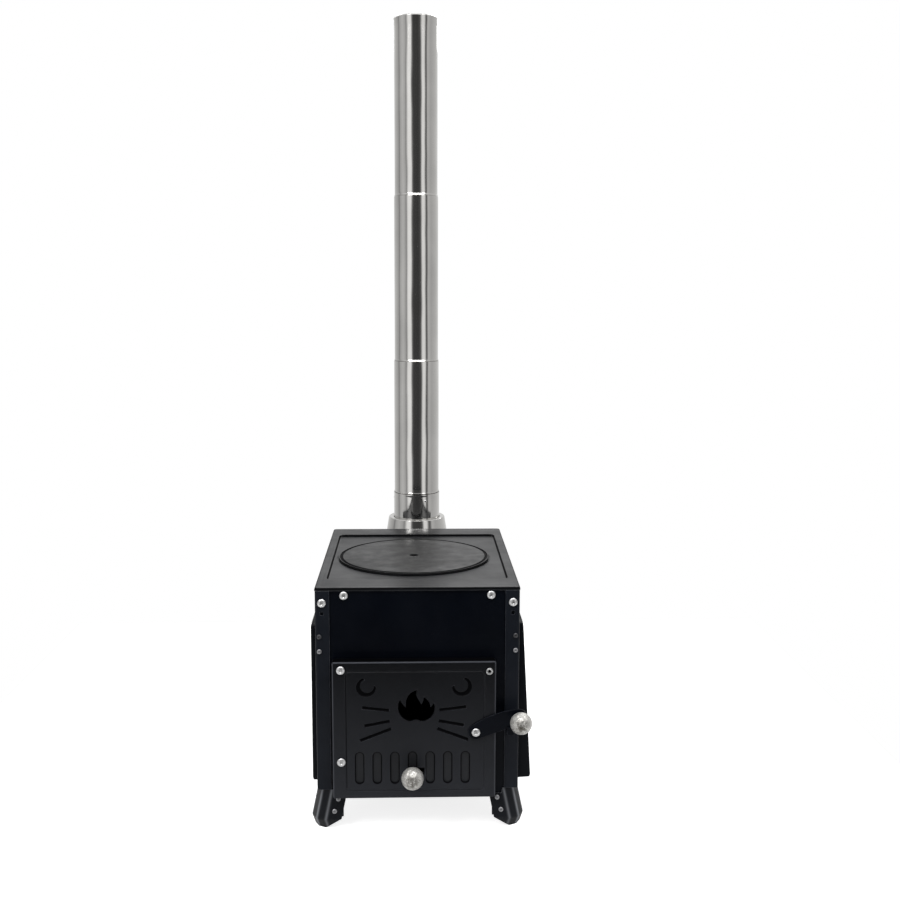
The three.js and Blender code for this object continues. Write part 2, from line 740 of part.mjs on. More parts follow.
// The pressed ornament beside the flame, the same on both sides of the door's middle.
function ornamentShapes() {
  const shapes = [];
  const flameZ = doorTop - flameDrop;
  for (const side of Object.values(sides)) {
    const x = doorShift + side * (doorWidth / 2 - crescent.inset);
    const opening = Math.PI / 2 + side * 0.6;
    shapes.push(crescentShape(x, doorTop - crescent.drop, crescent.radius, opening));
    for (const ray of rays) {
      const inner = [doorShift + side * ray.inner[0], flameZ + ray.inner[1]];
      const outer = [doorShift + side * ray.outer[0], flameZ + ray.outer[1]];
      shapes.push(strokeShape(inner, outer, rayWidth.inner, rayWidth.outer));
    }
  }
  return shapes;
}

// Places of the air slots, left to right.
const slotXs = Array.from({ length: slotCount }, (_, i) => slotMiddle + (i - (slotCount - 1) / 2) * slotPitch);

const hingeZs = {
  upper: doorTop - hingeScrewDrops.upper - hingeKnuckleHeight / 2,
  lower: doorTop - hingeScrewDrops.lower - hingeKnuckleHeight / 2,
};

function doorPanel() {
  const outer = block([doorLeft, doorRight], [doorFront, doorBack], [doorBottom, doorTop]);
  const hollow = block(
    [doorLeft + sheet, doorRight - sheet],
    [doorInner, doorBack + overcut],
    [doorBottom + sheet, doorTop - sheet],
  );
  const face = [doorFront - overcut, doorInner + weld];
  const stemRoom = stemRadius + 0.5;
  const through = [
    upright(flameShape(doorShift + 2, doorTop - flameDrop), ...face, 5),
    ...slotXs.map((x) => upright(obround(x, slotZ, slotWidth, slotHeight), ...face, 4)),
    // Cross slot that the damper knob's stem runs in.
    block([slotMiddle - stemRoom, slotMiddle + damperTravel + stemRoom], face, [knobZ - stemRoom, knobZ + stemRoom]),
  ];
  const pressed = ornamentShapes().map((shape) => upright(shape, doorFront - overcut, doorFront + grooveDepth, 4));
  // Pressed line just inside the door's edge.
  const borderLine = (inset, corner) =>
    roundedRect(
      doorLeft + border.side + inset,
      doorRight - border.side + borderShift.x - inset,
      doorBottom + border.side - borderShift.bottom + inset,
      doorTop - border.side + borderShift.top - inset,
      corner,
    );
  const line = borderLine(0, border.corner);
  line.holes.push(borderLine(border.width, border.corner - 0.75 * border.width));
  pressed.push(upright(line, doorFront - overcut, doorFront + border.depth, 3));
  // The left wall swings across the hinge brackets and, under the body, past a leg's tab.
  const wallNotch = (y, z) => block([doorLeft - weld, doorLeft + sheet + weld], [y, doorBack + overcut], z);
  const notches = Object.values(hingeZs).map((z) =>
    wallNotch(doorInner + 2 * seat, [z - hingeFootHeight - 1, z + hingeKnuckleHeight + 0.5]),
  );
  notches.push(wallNotch(doorBack - doorRelief, [doorBottom - overcut, legHeight + weld]));
  const holes = [
    ...Object.values(hingeScrewDrops).map((drop) =>
      screwHole(doorLeft + hingeScrewInset, doorTop - drop, doorFront, doorInner),
    ),
    screwHole(latchX, latchZ, doorFront, doorInner),
    drill(doorRight - eyelet.inset, doorTop - eyelet.drop, eyelet.bore + 1, doorFront, doorInner),
  ];
  const cuts = [hollow, ...through, ...pressed, ...notches].map(solid);
  return geometryOf(subtractAll(solid(outer), [...cuts, ...holes]));
}

// A hollow rivet.
function doorEyelet() {
  const tube = eyelet.bore + eyelet.wall;
  const back = -doorFace - seat;
  const rear = back - eyelet.rise;
  const front = seat + eyelet.rise;
  const profile = [
    [eyelet.bore, rear],
    [eyelet.flange, rear],
    [eyelet.flange, back],
    [tube, back],
    [tube, seat],
    [eyelet.flange, seat],
    [eyelet.flange - eyelet.wall, front],
    [eyelet.bore, front],
    [eyelet.bore, rear],
  ];
  return turnedForward(profile, doorRight - eyelet.inset, doorFront, doorTop - eyelet.drop);
}

add("door_panel", doorPanel(), doorPaint);
add("door_eyelet", doorEyelet(), zinc);

// Door half of a hinge: a leaf inside the door, rolled to a knuckle on the pin.
function doorHinge(z) {
  const tall = [z, z + hingeKnuckleHeight];
  const leafFront = doorInner + seat;
  const leafLeft = doorLeft + sheet + seat;
  const barrel = turned(
    ring(hingePin.radius + hingePinPlay, hingeKnuckleRadius, tall[0], tall[1]),
    hingeX,
    hingeY,
    smallSteps,
  );
  const boreFront = hingeY - hingePin.radius - hingePinPlay;
  const leaf = solid(block([leafLeft, leafLeft + hingeLeaf], [leafFront, leafFront + sheet], tall));
  const root = solid(block([hingeX - hingeRib.leaf, hingeX + hingeRib.leaf], [leafFront, boreFront - seat], tall));
  const whole = solid(barrel).add(leaf).add(root);
  const screwZ = z + hingeKnuckleHeight / 2;
  return geometryOf(
    whole.subtract(screwHole(doorLeft + hingeScrewInset, screwZ, leafFront, leafFront + sheet)),
  );
}

// Body half of a hinge: a foot on the front panel that carries the upright pin.
function hingeBracket(z) {
  const tall = [z - hingeFootHeight, z - seat];
  const back = -panelOuter - seat;
  const foot = [
    block([hingeX - hingeFoot.left, hingeX + hingeFoot.right], [back - hingeFoot.thickness, back], tall),
    block([hingeX - hingeRib.foot, hingeX + hingeRib.foot], [hingeY, back], tall),
  ];
  const pin = turned(
    [
      [0, tall[0]],
      [hingeKnuckleRadius, tall[0]],
      [hingeKnuckleRadius, tall[1]],
      [hingePin.radius, tall[1]],
      [hingePin.radius, z + hingeKnuckleHeight - 1],
      [0, z + hingeKnuckleHeight - 1],
    ],
    hingeX,
    hingeY,
    smallSteps,
  );
  return geometryOf(foot.reduce((body, piece) => body.add(solid(piece)), solid(pin)));
}

for (const [name, z] of Object.entries(hingeZs)) {
  add(`door_hinge_${name}`, doorHinge(z), paint);
  add(`hinge_bracket_${name}`, hingeBracket(z), paint);
  const screwZ = doorTop - hingeScrewDrops[name];
  const x = doorLeft + hingeScrewInset;
  addScrew(`door_screw_${name}`, screwHead, x, doorFront, screwZ, doorFace + seat + sheet, -1, smallNut);
}

// ---------------------------------------------------------------- air damper

const damper = {
  y: [doorInner + seat, doorInner + seat + damperThickness],
  x: [slotXs[0] - slotWidth / 2 - damperEnds.left, slotXs[slotCount - 1] + slotWidth / 2 + damperEnds.right],
  z: [slotZ - slotHeight / 2 - damperLap, slotZ + slotHeight / 2 + damperLap],
};

function damperPlate() {
  const plate = solid(block(damper.x, damper.y, damper.z));
  // The windows stand between the door's slots while the damper is shut.
  const through = [damper.y[0] - weld, damper.y[1] + weld];
  const windows = slotXs
    .slice(1)
    .map((x) => upright(obround(x - damperTravel, slotZ, slotWidth, slotHeight), ...through, 4));
  const stem = stemHole(slotMiddle, knobZ, ...damper.y);
  return geometryOf(subtractAll(plate, [...windows.map(solid), stem]));
}

// A guide is a strip on the door's inside with a lip over one edge of the damper.
function damperGuide(edge, direction) {
  const away = edge + direction * seat;
  const lipY = [damper.y[1] + seat, damper.y[1] + seat + guide.thickness];
  const run = [damper.x[0] + guide.inset, damper.x[1] + damperTravel];
  const rib = block(run, [doorInner + seat, lipY[1]], [away, away + direction * guide.width]);
  const lip = block(run, lipY, [away - direction * guide.lip, away + direction * weld]);
  return geometryOf(solid(rib).add(solid(lip)));
}

add("damper_plate", damperPlate(), paint);
add("damper_guide_upper", damperGuide(damper.z[1], 1), paint);
add("damper_guide_lower", damperGuide(damper.z[0], -1), paint);

// Profile of a ball knob on a stem. Reach 0 is the face that the neck stands on.
function knobProfile(radius, reach, neck, grip, nutSize = nut) {
  const foot = seat + 0.5;
  const below = Math.asin(neck / radius);
  const points = [
    [0, -grip - seat - nutSize.height],
    [nutSize.radius, -grip - seat - nutSize.height],
    [nutSize.radius, -grip - seat],
    [stemRadius, -grip - seat],
    [stemRadius, foot],
    [neck, foot],
  ];
  const steps = 9;
  for (let i = 0; i <= steps; i += 1) {
    const angle = below + ((Math.PI - below) * i) / steps;
    const r = i === steps ? 0 : radius * Math.sin(angle);
    points.push([r, reach - radius * Math.cos(angle)]);
  }
  return points;
}

const damperGrip = damper.y[1] - doorFront;
const damperBall = knobProfile(knobRadius, knobReach, knobNeck, damperGrip);
add("damper_knob", turnedForward(damperBall, slotMiddle, doorFront, knobZ, -1, knobSteps), polished);

// ---------------------------------------------------------------- latch

// The lever lies on the door's face and swings about its pivot screw.
const lever = { y: [doorFront - seat - latchThickness, doorFront - seat] };

function latchArm() {
  const { x, z } = latchReach;
  const length = Math.hypot(x, z);
  const tilt = Math.atan2(z, x);
  const w = latchHalfWidth;
  const outline = new THREE.Shape();
  outline.absarc(0, 0, w, Math.PI / 2 + 0.35, 1.5 * Math.PI);
  outline.absarc(length, 0, w, -Math.PI / 2, Math.PI / 2 - 0.2);
  outline.quadraticCurveTo(length * latchBulge.along, w * latchBulge.out, -w * Math.sin(0.35), w * Math.cos(0.35));
  const plate = upright(outline, ...lever.y, 7).rotateY(-tilt).translate(latchX, 0, latchZ);
  const holes = [
    screwHole(latchX, latchZ, ...lever.y),
    stemHole(latchX + x, latchZ + z, ...lever.y),
  ];
  return geometryOf(subtractAll(solid(plate), holes));
}

add("latch_arm", latchArm(), paint);
addScrew("latch_screw", screwHead, latchX, lever.y[0], latchZ, latchThickness + seat + doorFace, -1);
add(
  "latch_knob",
  turnedForward(
    knobProfile(latchKnobRadius, latchKnobReach, knobNeck, latchThickness, smallNut),
    latchX + latchReach.x,
    lever.y[0],
    latchZ + latchReach.z,
    -1,
    knobSteps,
  ),
  polished,
);

// The catch stands out from the right post: a floor for the lever and a lip in front of it.
function doorCatch() {
  const floor = latchZ - catchBelowPivot;
  const inner = postX - postWidth + catchInset;
  const x = [inner, inner + catchWidth];
  const back = -postY - seat;
  const front = lever.y[0] - catchRoom;
  const pieces = [
    block(x, [back - sheet, back], [floor - catchTail, floor]),
    block(x, [front, back], [floor - sheet, floor]),
    block(x, [front, front + sheet], [floor - sheet, floor + catchLip]),
  ];
  return geometryOf(pieces.map(solid).reduce((body, piece) => body.add(piece)));
}

add("door_catch", doorCatch(), paint);

// ---------------------------------------------------------------- side shelves

// A pan whose rim is turned towards the firebox. Its own frame has the pivot bolts' axis at 0, 0.
function sideShelf(side) {
  const outer = shelfPivotInset + shelfProud;
  const inner = outer - shelfDepth;
  const top = shelfPivotDrop - shelfTopDrop;
  const bottom = legHeight + shelfBottomGap - shelfPivotZ;
  const shell = solid(block([side * inner, side * outer], [-shelfHalf, shelfHalf], [bottom, top]));
  const hollow = solid(
    block(
      [side * (inner - overcut), side * (outer - shelfSheet)],
      [-shelfHalf + shelfSheet, shelfHalf - shelfSheet],
      [bottom + shelfSheet, top - shelfSheet],
    ),
  );
  const holes = Object.values(ends).map((end) =>
    screwHole(0, 0, end * shelfHalf, end * (shelfHalf - shelfSheet)),
  );
  return geometryOf(subtractAll(shell, [hollow, ...holes]));
}

for (const [name, side] of Object.entries(sides)) {
  const hanger = new THREE.Group();
  hanger.position.set(side * shelfPivotX, 0, shelfPivotZ);
  hanger.rotation.y = name === "right" ? -rightShelfAngle : 0;
  stove.add(hanger);
  add(`side_shelf_${name}`, sideShelf(side), paint, hanger);
}

// ---------------------------------------------------------------- flue and chimney

// The flue box takes the smoke from the rear panel and turns it upwards.
function flueBox() {
  const front = postY - sheet;
  const half = flueBoxWidth / 2;
  const bottom = flueBoxTop - flueBoxHeight;
  const shell = solid(block([-half, half], [front, flueBoxBack], [bottom, flueBoxTop]));
  const hollow = block(
    [-half + sheet, half - sheet],
    [front - overcut, flueBoxBack - sheet],
    [bottom + sheet, flueBoxTop - sheet],
  );
  const bore = adapterRadius + seat;
  const hole = new THREE.CylinderGeometry(bore, bore, 2 * (sheet + overcut), roundSteps);
  hole.rotateX(Math.PI / 2).translate(0, flueY, flueBoxTop);
  return geometryOf(subtractAll(shell, [solid(hollow), solid(hole)]));
}

add("flue_box", flueBox(), paint);

const collarTopZ = cookHeight + collarTop.rise;
const collarFoot = flueBoxTop + seat;
const collarFootRadius = collarTop.radius + collarSlope * (collarTopZ - collarFoot);
const collarBore = adapterRadius + 2 * seat;
const collarProfile = [
  [collarFootRadius - collarWall, collarFoot],
  [collarFootRadius, collarFoot],
  [collarTop.radius, collarTopZ],
  [collarBore, collarTopZ],
  [collarBore, collarTopZ - collarWall],
  [collarTop.radius - collarWall, collarTopZ - collarWall],
  [collarFootRadius - collarWall, collarFoot],
];
add("flue_collar", turned(collarProfile, 0, flueY), stainless);
add(
  "flue_adapter",
  turned(ring(adapterRadius - pipeWall, adapterRadius, adapterRim - adapterLength, adapterRim), 0, flueY),
  stainless,
);

// A chimney section stands inside the one below and rests on its rim with a pressed bead.
function pipeSection(radius, rim, reach, hem) {
  const inner = radius - pipeWall;
  const bottom = rim + reach - pipeLength;
  const top = rim + reach;
  const bead = rim + seat;
  const outside = [
    [inner, bottom],
    [radius, bottom],
    [radius, bead],
    [radius + pipeStep, bead],
    [radius + pipeStep, bead + beadHeight * 0.4],
    [radius, bead + beadHeight],
  ];
  const line = hem
    ? [
        [radius, top - hemDrop],
        [radius + pipeWall, top - hemDrop + 1],
        [radius + pipeWall, top],
      ]
    : [[radius, top]];
  return turned([...outside, ...line, [inner, top], [inner, bottom]], 0, flueY);
}

let rim = adapterRim;
const sections = Object.keys(pipeReaches).reverse();
sections.forEach((name, i) => {
  const radius = pipeRadius + (sections.length - 1 - i) * pipeStep;
  add(`pipe_${name}`, pipeSection(radius, rim, pipeReaches[name], name === "upper"), stainless);
  rim += pipeReaches[name];
});

// The origin is on the floor, under the middle of the stove's bounding box.
const bounds = new THREE.Box3().setFromObject(stove, true);
const middle = bounds.getCenter(new THREE.Vector3());
stove.position.set(-middle.x, -middle.y, -bounds.min.z);

export default stove;
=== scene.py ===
# Looks for a small tent wood stove: black satin sheet steel, a pressed door, bright screws and ball knobs
# and a polished stainless chimney, in a white studio. Shapes are worked out in millimetres.
import json
import math
from functools import partial

import bmesh
import bpy
from mathutils import Matrix, Vector, geometry, noise


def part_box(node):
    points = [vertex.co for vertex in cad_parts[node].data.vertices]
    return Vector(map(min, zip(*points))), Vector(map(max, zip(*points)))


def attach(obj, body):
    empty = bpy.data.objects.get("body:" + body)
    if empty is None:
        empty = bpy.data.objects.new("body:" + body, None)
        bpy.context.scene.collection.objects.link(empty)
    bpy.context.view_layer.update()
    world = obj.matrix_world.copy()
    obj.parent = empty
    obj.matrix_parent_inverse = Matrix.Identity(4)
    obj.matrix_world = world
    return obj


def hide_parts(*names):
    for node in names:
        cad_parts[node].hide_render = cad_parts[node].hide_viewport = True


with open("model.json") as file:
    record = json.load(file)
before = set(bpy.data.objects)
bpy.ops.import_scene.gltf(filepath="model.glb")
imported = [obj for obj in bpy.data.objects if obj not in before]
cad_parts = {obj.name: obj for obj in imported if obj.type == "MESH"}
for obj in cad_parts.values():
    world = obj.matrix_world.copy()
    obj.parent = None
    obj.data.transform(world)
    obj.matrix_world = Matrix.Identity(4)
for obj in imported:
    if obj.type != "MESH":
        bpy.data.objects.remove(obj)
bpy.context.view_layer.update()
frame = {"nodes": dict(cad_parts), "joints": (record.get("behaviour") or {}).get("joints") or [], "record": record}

MM = 0.001

# --- places taken from the frame


def box(node):
    """Lowest and highest corner of a CAD node, in millimetres."""
    low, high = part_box(node)
    return low / MM, high / MM


def middle(node):
    low, high = box(node)
    return (low + high) / 2


top_low, top_high = box("top_plate")
home = Vector(((top_low.x + top_high.x) / 2, (top_low.y + top_high.y) / 2, 0))
cook_height = top_high.z
joints = {joint["name"]: joint for joint in frame["joints"]}
bodies = frame["record"]["behaviour"]["bodies"]
body_of = {node: body for body, nodes in bodies.items() for node in nodes}
slot_of = {part["node"]: part["material_slot"] for part in frame["record"]["subparts"]}

# --- camera, stage and lights

PHOTO_LENS = 45.03
PHOTO_EYE = Vector((-3.38, -1377.5, 326.4))  # from the middle of the cooking surface
PHOTO_PITCH = math.radians(8.014)
PHOTO_YAW = math.radians(1.839)
PHOTO_ROLL = math.radians(0.134)


def add_camera():
    camera = bpy.data.cameras.new("photo_camera")
    camera.lens = PHOTO_LENS
    camera.sensor_width = 36
    camera.clip_start = 0.05
    view = bpy.data.objects.new("photo_camera", camera)
    bpy.context.scene.collection.objects.link(view)
    eye = home + Vector((0, 0, cook_height)) + PHOTO_EYE
    turn = Matrix.Rotation(-PHOTO_YAW, 4, "Z") @ Matrix.Rotation(math.pi / 2 - PHOTO_PITCH, 4, "X")
    view.matrix_world = Matrix.Translation(eye * MM) @ turn @ Matrix.Rotation(PHOTO_ROLL, 4, "Z")
    bpy.context.scene.camera = view


def add_light(name, place, aim, size, power):
    """A softbox, in metres and watts."""
    lamp = bpy.data.lights.new(name, "AREA")
    lamp.shape = "RECTANGLE"
    lamp.size, lamp.size_y = size
    lamp.energy = power
    light = bpy.data.objects.new(name, lamp)
    light.location = place
    light.rotation_euler = (Vector(aim) - Vector(place)).to_track_quat("-Z", "Y").to_euler()
    bpy.context.scene.collection.objects.link(light)


def feed(tree, socket, value):
    """Links a socket to another node's output, or sets it to a constant. Colours are opaque."""
    if isinstance(value, bpy.types.NodeSocket):
        tree.links.new(value, socket)
    else:
        socket.default_value = (*value, 1) if socket.type == "RGBA" else value


def node_in(tree, kind, *sources, **values):
    """A new shader node. Sources feed its first sockets, and values its attributes or its named sockets."""
    made = tree.nodes.new(f"ShaderNode{kind}")
    for key, value in values.items():
        if hasattr(made, key):
            setattr(made, key, value)
        else:
            feed(tree, made.inputs[key], value)
    for socket, source in zip(made.inputs, sources):
        feed(tree, socket, source)
    return made


def math_node(tree, operation, *terms):
    return node_in(tree, "Math", *terms, operation=operation).outputs[0]


def blend_colour(tree, factor, first, second):
    return node_in(tree, "Mix", data_type="RGBA", Factor=factor, A=first, B=second).outputs["Result"]


def ramp(tree, source, stops):
    """A grey ramp with stops of (position, brightness)."""
    made = node_in(tree, "ValToRGB", source)
    elements = made.color_ramp.elements
    while len(elements) < len(stops):
        elements.new(0.5)
    for element, (position, shade) in zip(elements, stops):
        element.position = position
        element.color = (shade, shade, shade, 1)
    return made.outputs[0]


# Brightness round the studio as polished metal mirrors it: degrees from the camera's side, brightness.
# Two tall softboxes stand on either side of the dark camera end; the back is a pale backdrop.
STUDIO_RING = [
    (-180, 0.80), (-150, 0.70), (-125, 0.56), (-108, 0.46), (-101, 0.26), (-94, 0.50), (-75, 0.64),
    (-60, 0.52), (-54, 0.30), (-48, 0.66), (-43, 1.05), (-28, 1.05), (-22, 0.22), (-15, 0.060),
    (10, 0.050), (23, 0.090), (28, 0.45), (32, 0.95), (44, 0.95), (49, 0.50), (52, 0.13),
    (58, 0.16), (64, 0.60), (85, 0.50), (115, 0.60), (150, 0.76), (180, 0.80),
]
CEILING = (0.9, 0.9, 0.9)
CEILING_RISE = [(0.45, 0.0), (0.8, 1.0)]  # how far up the ring gives way to the ceiling
AMBIENT = 0.5  # strength of the even light on matt surfaces


def add_world():
    world = bpy.data.worlds.new("studio")
    bpy.context.scene.world = world
    world.use_nodes = True
    tree = world.node_tree
    tree.nodes.clear()
    direction = node_in(tree, "SeparateXYZ", node_in(tree, "TexCoord").outputs["Generated"])
    back = math_node(tree, "MULTIPLY", direction.outputs["Y"], -1)
    turn = math_node(tree, "ARCTAN2", direction.outputs["X"], back)
    share = math_node(tree, "MULTIPLY_ADD", turn, 1 / (2 * math.pi), 0.5)
    ring = ramp(tree, share, [((degrees + 180) / 360, shade) for degrees, shade in STUDIO_RING])
    height = ramp(tree, direction.outputs["Z"], CEILING_RISE)
    mirrored = node_in(tree, "Background", blend_colour(tree, height, ring, CEILING))
    plain = node_in(tree, "Background", Color=(1, 1, 1), Strength=AMBIENT)
    seen = node_in(tree, "Background", Color=(1, 1, 1), Strength=1.0)
    path = node_in(tree, "LightPath")
    lit = node_in(tree, "MixShader", path.outputs["Is Glossy Ray"], plain.outputs[0], mirrored.outputs[0])
    final = node_in(tree, "MixShader", path.outputs["Is Camera Ray"], lit.outputs[0], seen.outputs[0])
    node_in(tree, "OutputWorld", final.outputs[0])


FLOOR_HALF = 0.62
FLOOR_GLOW = 0.80  # what the floor adds for the camera, so that it runs into the white background
FLOOR_MIRRORED = 0.10  # what it adds where metal mirrors it


def add_floor():
    mesh = bpy.data.meshes.new("floor")
    half = FLOOR_HALF
    corners = [(-half, -half, 0), (half, -half, 0), (half, half, 0), (-half, half, 0)]
    mesh.from_pydata(corners, [], [(0, 1, 2, 3)])
    floor = bpy.data.objects.new("floor", mesh)
    bpy.context.scene.collection.objects.link(floor)
    material = bpy.data.materials.new("pale_floor")
    material.use_nodes = True
    tree = material.node_tree
    tree.nodes.clear()
    matt = node_in(tree, "BsdfDiffuse", Color=(0.80, 0.80, 0.80))
    path = node_in(tree, "LightPath")
    seen = math_node(tree, "MAXIMUM", path.outputs["Is Camera Ray"], path.outputs["Is Transmission Ray"])
    glow_seen = math_node(tree, "MULTIPLY", seen, FLOOR_GLOW)
    glow_mirrored = math_node(tree, "MULTIPLY", path.outputs["Is Glossy Ray"], FLOOR_MIRRORED)
    glow = node_in(tree, "Emission", Strength=math_node(tree, "ADD", glow_seen, glow_mirrored))
    both = node_in(tree, "AddShader", matt.outputs[0], glow.outputs[0])
    node_in(tree, "OutputMaterial", both.outputs[0])
    mesh.materials.append(material)


# --- materials


def surface(name, colour, metallic, roughness, specular=0.5):
    """A material with its node tree, its shader and its object coordinates."""
    material = bpy.data.materials.new(name)
    material.use_nodes = True
    tree = material.node_tree
    shader = tree.nodes["Principled BSDF"]
    shader.inputs["Base Color"].default_value = (*colour, 1)
    shader.inputs["Metallic"].default_value = metallic
    shader.inputs["Roughness"].default_value = roughness
    shader.inputs["Specular IOR Level"].default_value = specular
    return material, tree, shader, node_in(tree, "TexCoord").outputs["Object"]


def grain(tree, coordinates, scale, detail=3.0, stretch=(1, 1, 1), roughness=0.55):
    """Noise whose features are about 1 / scale metres across, stretched along the axes."""
    place = node_in(tree, "Mapping", Scale=stretch, Vector=coordinates).outputs[0]
    made = node_in(tree, "TexNoise", Scale=scale, Detail=detail, Roughness=roughness, Vector=place)
    return made.outputs["Fac"]


def raise_with(tree, shader, *layers):
    """Chains bumps of (height, depth in metres, strength) into the shader's normal."""
    last = None
    for height, depth, strength in layers:
        bump = node_in(tree, "Bump", Distance=depth, Strength=strength, Height=height)
        if last is not None:
            feed(tree, bump.inputs["Normal"], last)
        last = bump.outputs[0]
    feed(tree, shader.inputs["Normal"], last)


def finish(tree, shader, colour, smears, spread, *bumps):
    """Feeds a shader its colour, its roughness, which smears vary over a spread, and its bumps."""
    feed(tree, shader.inputs["Base Color"], colour)
    feed(tree, shader.inputs["Roughness"], ramp(tree, smears, spread))
    raise_with(tree, shader, *bumps)


def edge_mask(tree, reach):
    """Bright where a face turns an edge within reach metres."""
    soft = node_in(tree, "Bevel", samples=4, Radius=reach).outputs[0]
    flat = node_in(tree, "NewGeometry").outputs["True Normal"]
    dot = node_in(tree, "VectorMath", soft, flat, operation="DOT_PRODUCT")
    return ramp(tree, dot.outputs["Value"], [(0.80, 1.0), (0.97, 0.0)])


WEAR_AND_HIGHLIGHT_REACH = 0.0007  # metres from an edge where paint is scuffed off and a painted highlight lightens the edge
DUST = (0.045, 0.045, 0.045)
# Painted dark reflection on the fronts of the polished balls.
DARK_REFLECTION = (0.075, 0.068, 0.056)


def stove_paint(name, deep, light, roughness, worn_and_highlit, specular):
    """Heat-proof satin paint: two close blacks, fine orange peel, dusty specks, and edges lightened by scuffing
    and by a painted highlight.
    """
    material, tree, shader, at = surface(name, deep, 0.0, roughness, specular)
    clouds = ramp(tree, grain(tree, at, 14, detail=5), [(0.35, 0.0), (0.68, 1.0)])
    tone = blend_colour(tree, clouds, deep, light)
    specks = ramp(tree, grain(tree, at, 1300, detail=1), [(0.72, 0.0), (0.78, 1.0)])
    patches = ramp(tree, grain(tree, at, 30, detail=4), [(0.5, 0.0), (0.7, 0.6)])
    dusty = blend_colour(tree, math_node(tree, "MULTIPLY", specks, patches), tone, DUST)
    # Lighter at its edges, scuffed and with a painted highlight, and wherever a piece paints light with its own
    # painted_light attribute.
    patchy = ramp(tree, grain(tree, at, 90), [(0.35, 0.25), (0.6, 1.0)])
    edges = math_node(tree, "MULTIPLY", edge_mask(tree, WEAR_AND_HIGHLIGHT_REACH), patchy)
    marked = node_in(tree, "Attribute", attribute_name="painted_light").outputs["Fac"]
    rubbed_and_highlit = math_node(tree, "MAXIMUM", edges, marked)
    smears = grain(tree, at, 22, detail=6, stretch=(1, 1, 0.4))
    spread = [(0.3, roughness - 0.07), (0.7, roughness + 0.10)]
    unevenness = (grain(tree, at, 7, detail=1), 0.0012, 0.35)
    orange_peel = (grain(tree, at, 620, detail=2), 0.00006, 0.55)
    finish(tree, shader, blend_colour(tree, rubbed_and_highlit, dusty, worn_and_highlit), smears, spread, unevenness, orange_peel)
    return material


def cast_black(name, colour, roughness):
    """Blackened cast iron with a fine sand grain."""
    material, tree, shader, at = surface(name, colour, 0.0, roughness, specular=0.2)
    clouds = ramp(tree, grain(tree, at, 35, detail=6), [(0.3, 0.0), (0.7, 1.0)])
    lighter = tuple(1.7 * c for c in colour)
    smears = grain(tree, at, 60, detail=4)
    spread = [(0.3, roughness - 0.06), (0.7, roughness + 0.12)]
    sand = (grain(tree, at, 900, detail=3), 0.00012, 0.5)
    unevenness = (grain(tree, at, 60), 0.0004, 0.2)
    finish(tree, shader, blend_colour(tree, clouds, colour, lighter), smears, spread, sand, unevenness)
    return material


def bright_steel(name, colour, roughness, streaks, waves):
    """Bright metal with rolling streaks along Z and a gentle waviness that bends the reflections."""
    material, tree, shader, at = surface(name, colour, 1.0, roughness)
    cloud = ramp(tree, grain(tree, at, 18, detail=5), [(0.3, 0.0), (0.75, 1.0)])
    darker = tuple(0.86 * c for c in colour)
    tone = blend_colour(tree, cloud, darker, colour)
    brushed = grain(tree, at, 900, detail=4, stretch=(1, 1, 0.02))
    spread = [(0.3, roughness * 0.7), (0.7, roughness * 1.5)]
    wavy = grain(tree, at, 16, detail=2, stretch=(1, 1, 0.45))
    finish(tree, shader, tone, brushed, spread, (wavy, waves, 1.0), (brushed, streaks, 1.0))
    return material


def polished_ball(name, colour, roughness):
    """A slightly hammered ball with fine scratches, and a mottled painted dark reflection where a piece marks it
    with its own attribute.
    """
    material, tree, shader, at = surface(name, colour, 0.6, roughness)
    dents = grain(tree, at, 230, detail=3)
    scratches = grain(tree, at, 1500, detail=3, stretch=(1, 0.15, 1))
    spread = [(0.35, roughness * 0.6), (0.7, roughness * 1.8)]
    marked = node_in(tree, "Attribute", attribute_name="dark_reflection").outputs["Fac"]
    blotches = ramp(tree, grain(tree, at, 260, detail=5, roughness=0.7), [(0.44, 1.0), (0.63, 0.12)])
    tone = blend_colour(tree, math_node(tree, "MULTIPLY", blotches, marked), colour, DARK_REFLECTION)
    finish(tree, shader, tone, scratches, spread, (dents, 0.0018, 0.9), (scratches, 0.00003, 0.6))
    return material


# Paints: the two blacks, roughness, the colour of scuffed edges and of painted highlights and painted light, and
# specular level.
PAINTS = {
    "body_paint": ((0.0010, 0.0016, 0.0034), (0.0018, 0.0027, 0.0052), 0.34, (0.045, 0.049, 0.060), 0.07),
    "shelf_paint": ((0.0018, 0.0024, 0.0040), (0.0032, 0.0040, 0.0062), 0.44, (0.060, 0.064, 0.074), 0.07),
    # Lighter copies of the body paint for the posts and the legs: painted light.
    "lit_post_paint": ((0.0052, 0.0066, 0.0100), (0.0088, 0.0106, 0.0150), 0.36, (0.090, 0.096, 0.112), 0.10),
    "lit_leg_paint": ((0.0022, 0.0028, 0.0044), (0.0042, 0.0050, 0.0072), 0.32, (0.170, 0.176, 0.190), 0.16),
    "door_paint": ((0.0012, 0.0015, 0.0024), (0.0024, 0.0028, 0.0040), 0.40, (0.090, 0.096, 0.114), 0.13),
    "damper_paint": ((0.0085, 0.0092, 0.0110), (0.0125, 0.0134, 0.0158), 0.40, (0.090, 0.096, 0.112), 0.17),
    # A duller black for painted shade in grooves and recess walls.
    "painted_groove_shade": ((0.0008, 0.0009, 0.0012), (0.0014, 0.0015, 0.0020), 0.55, (0.004, 0.004, 0.005), 0.03),
    # A lighter copy of the body paint for the top: painted light.
    "lit_top_paint": ((0.0060, 0.0066, 0.0078), (0.0104, 0.0112, 0.0128), 0.36, (0.070, 0.073, 0.080), 0.16),
}
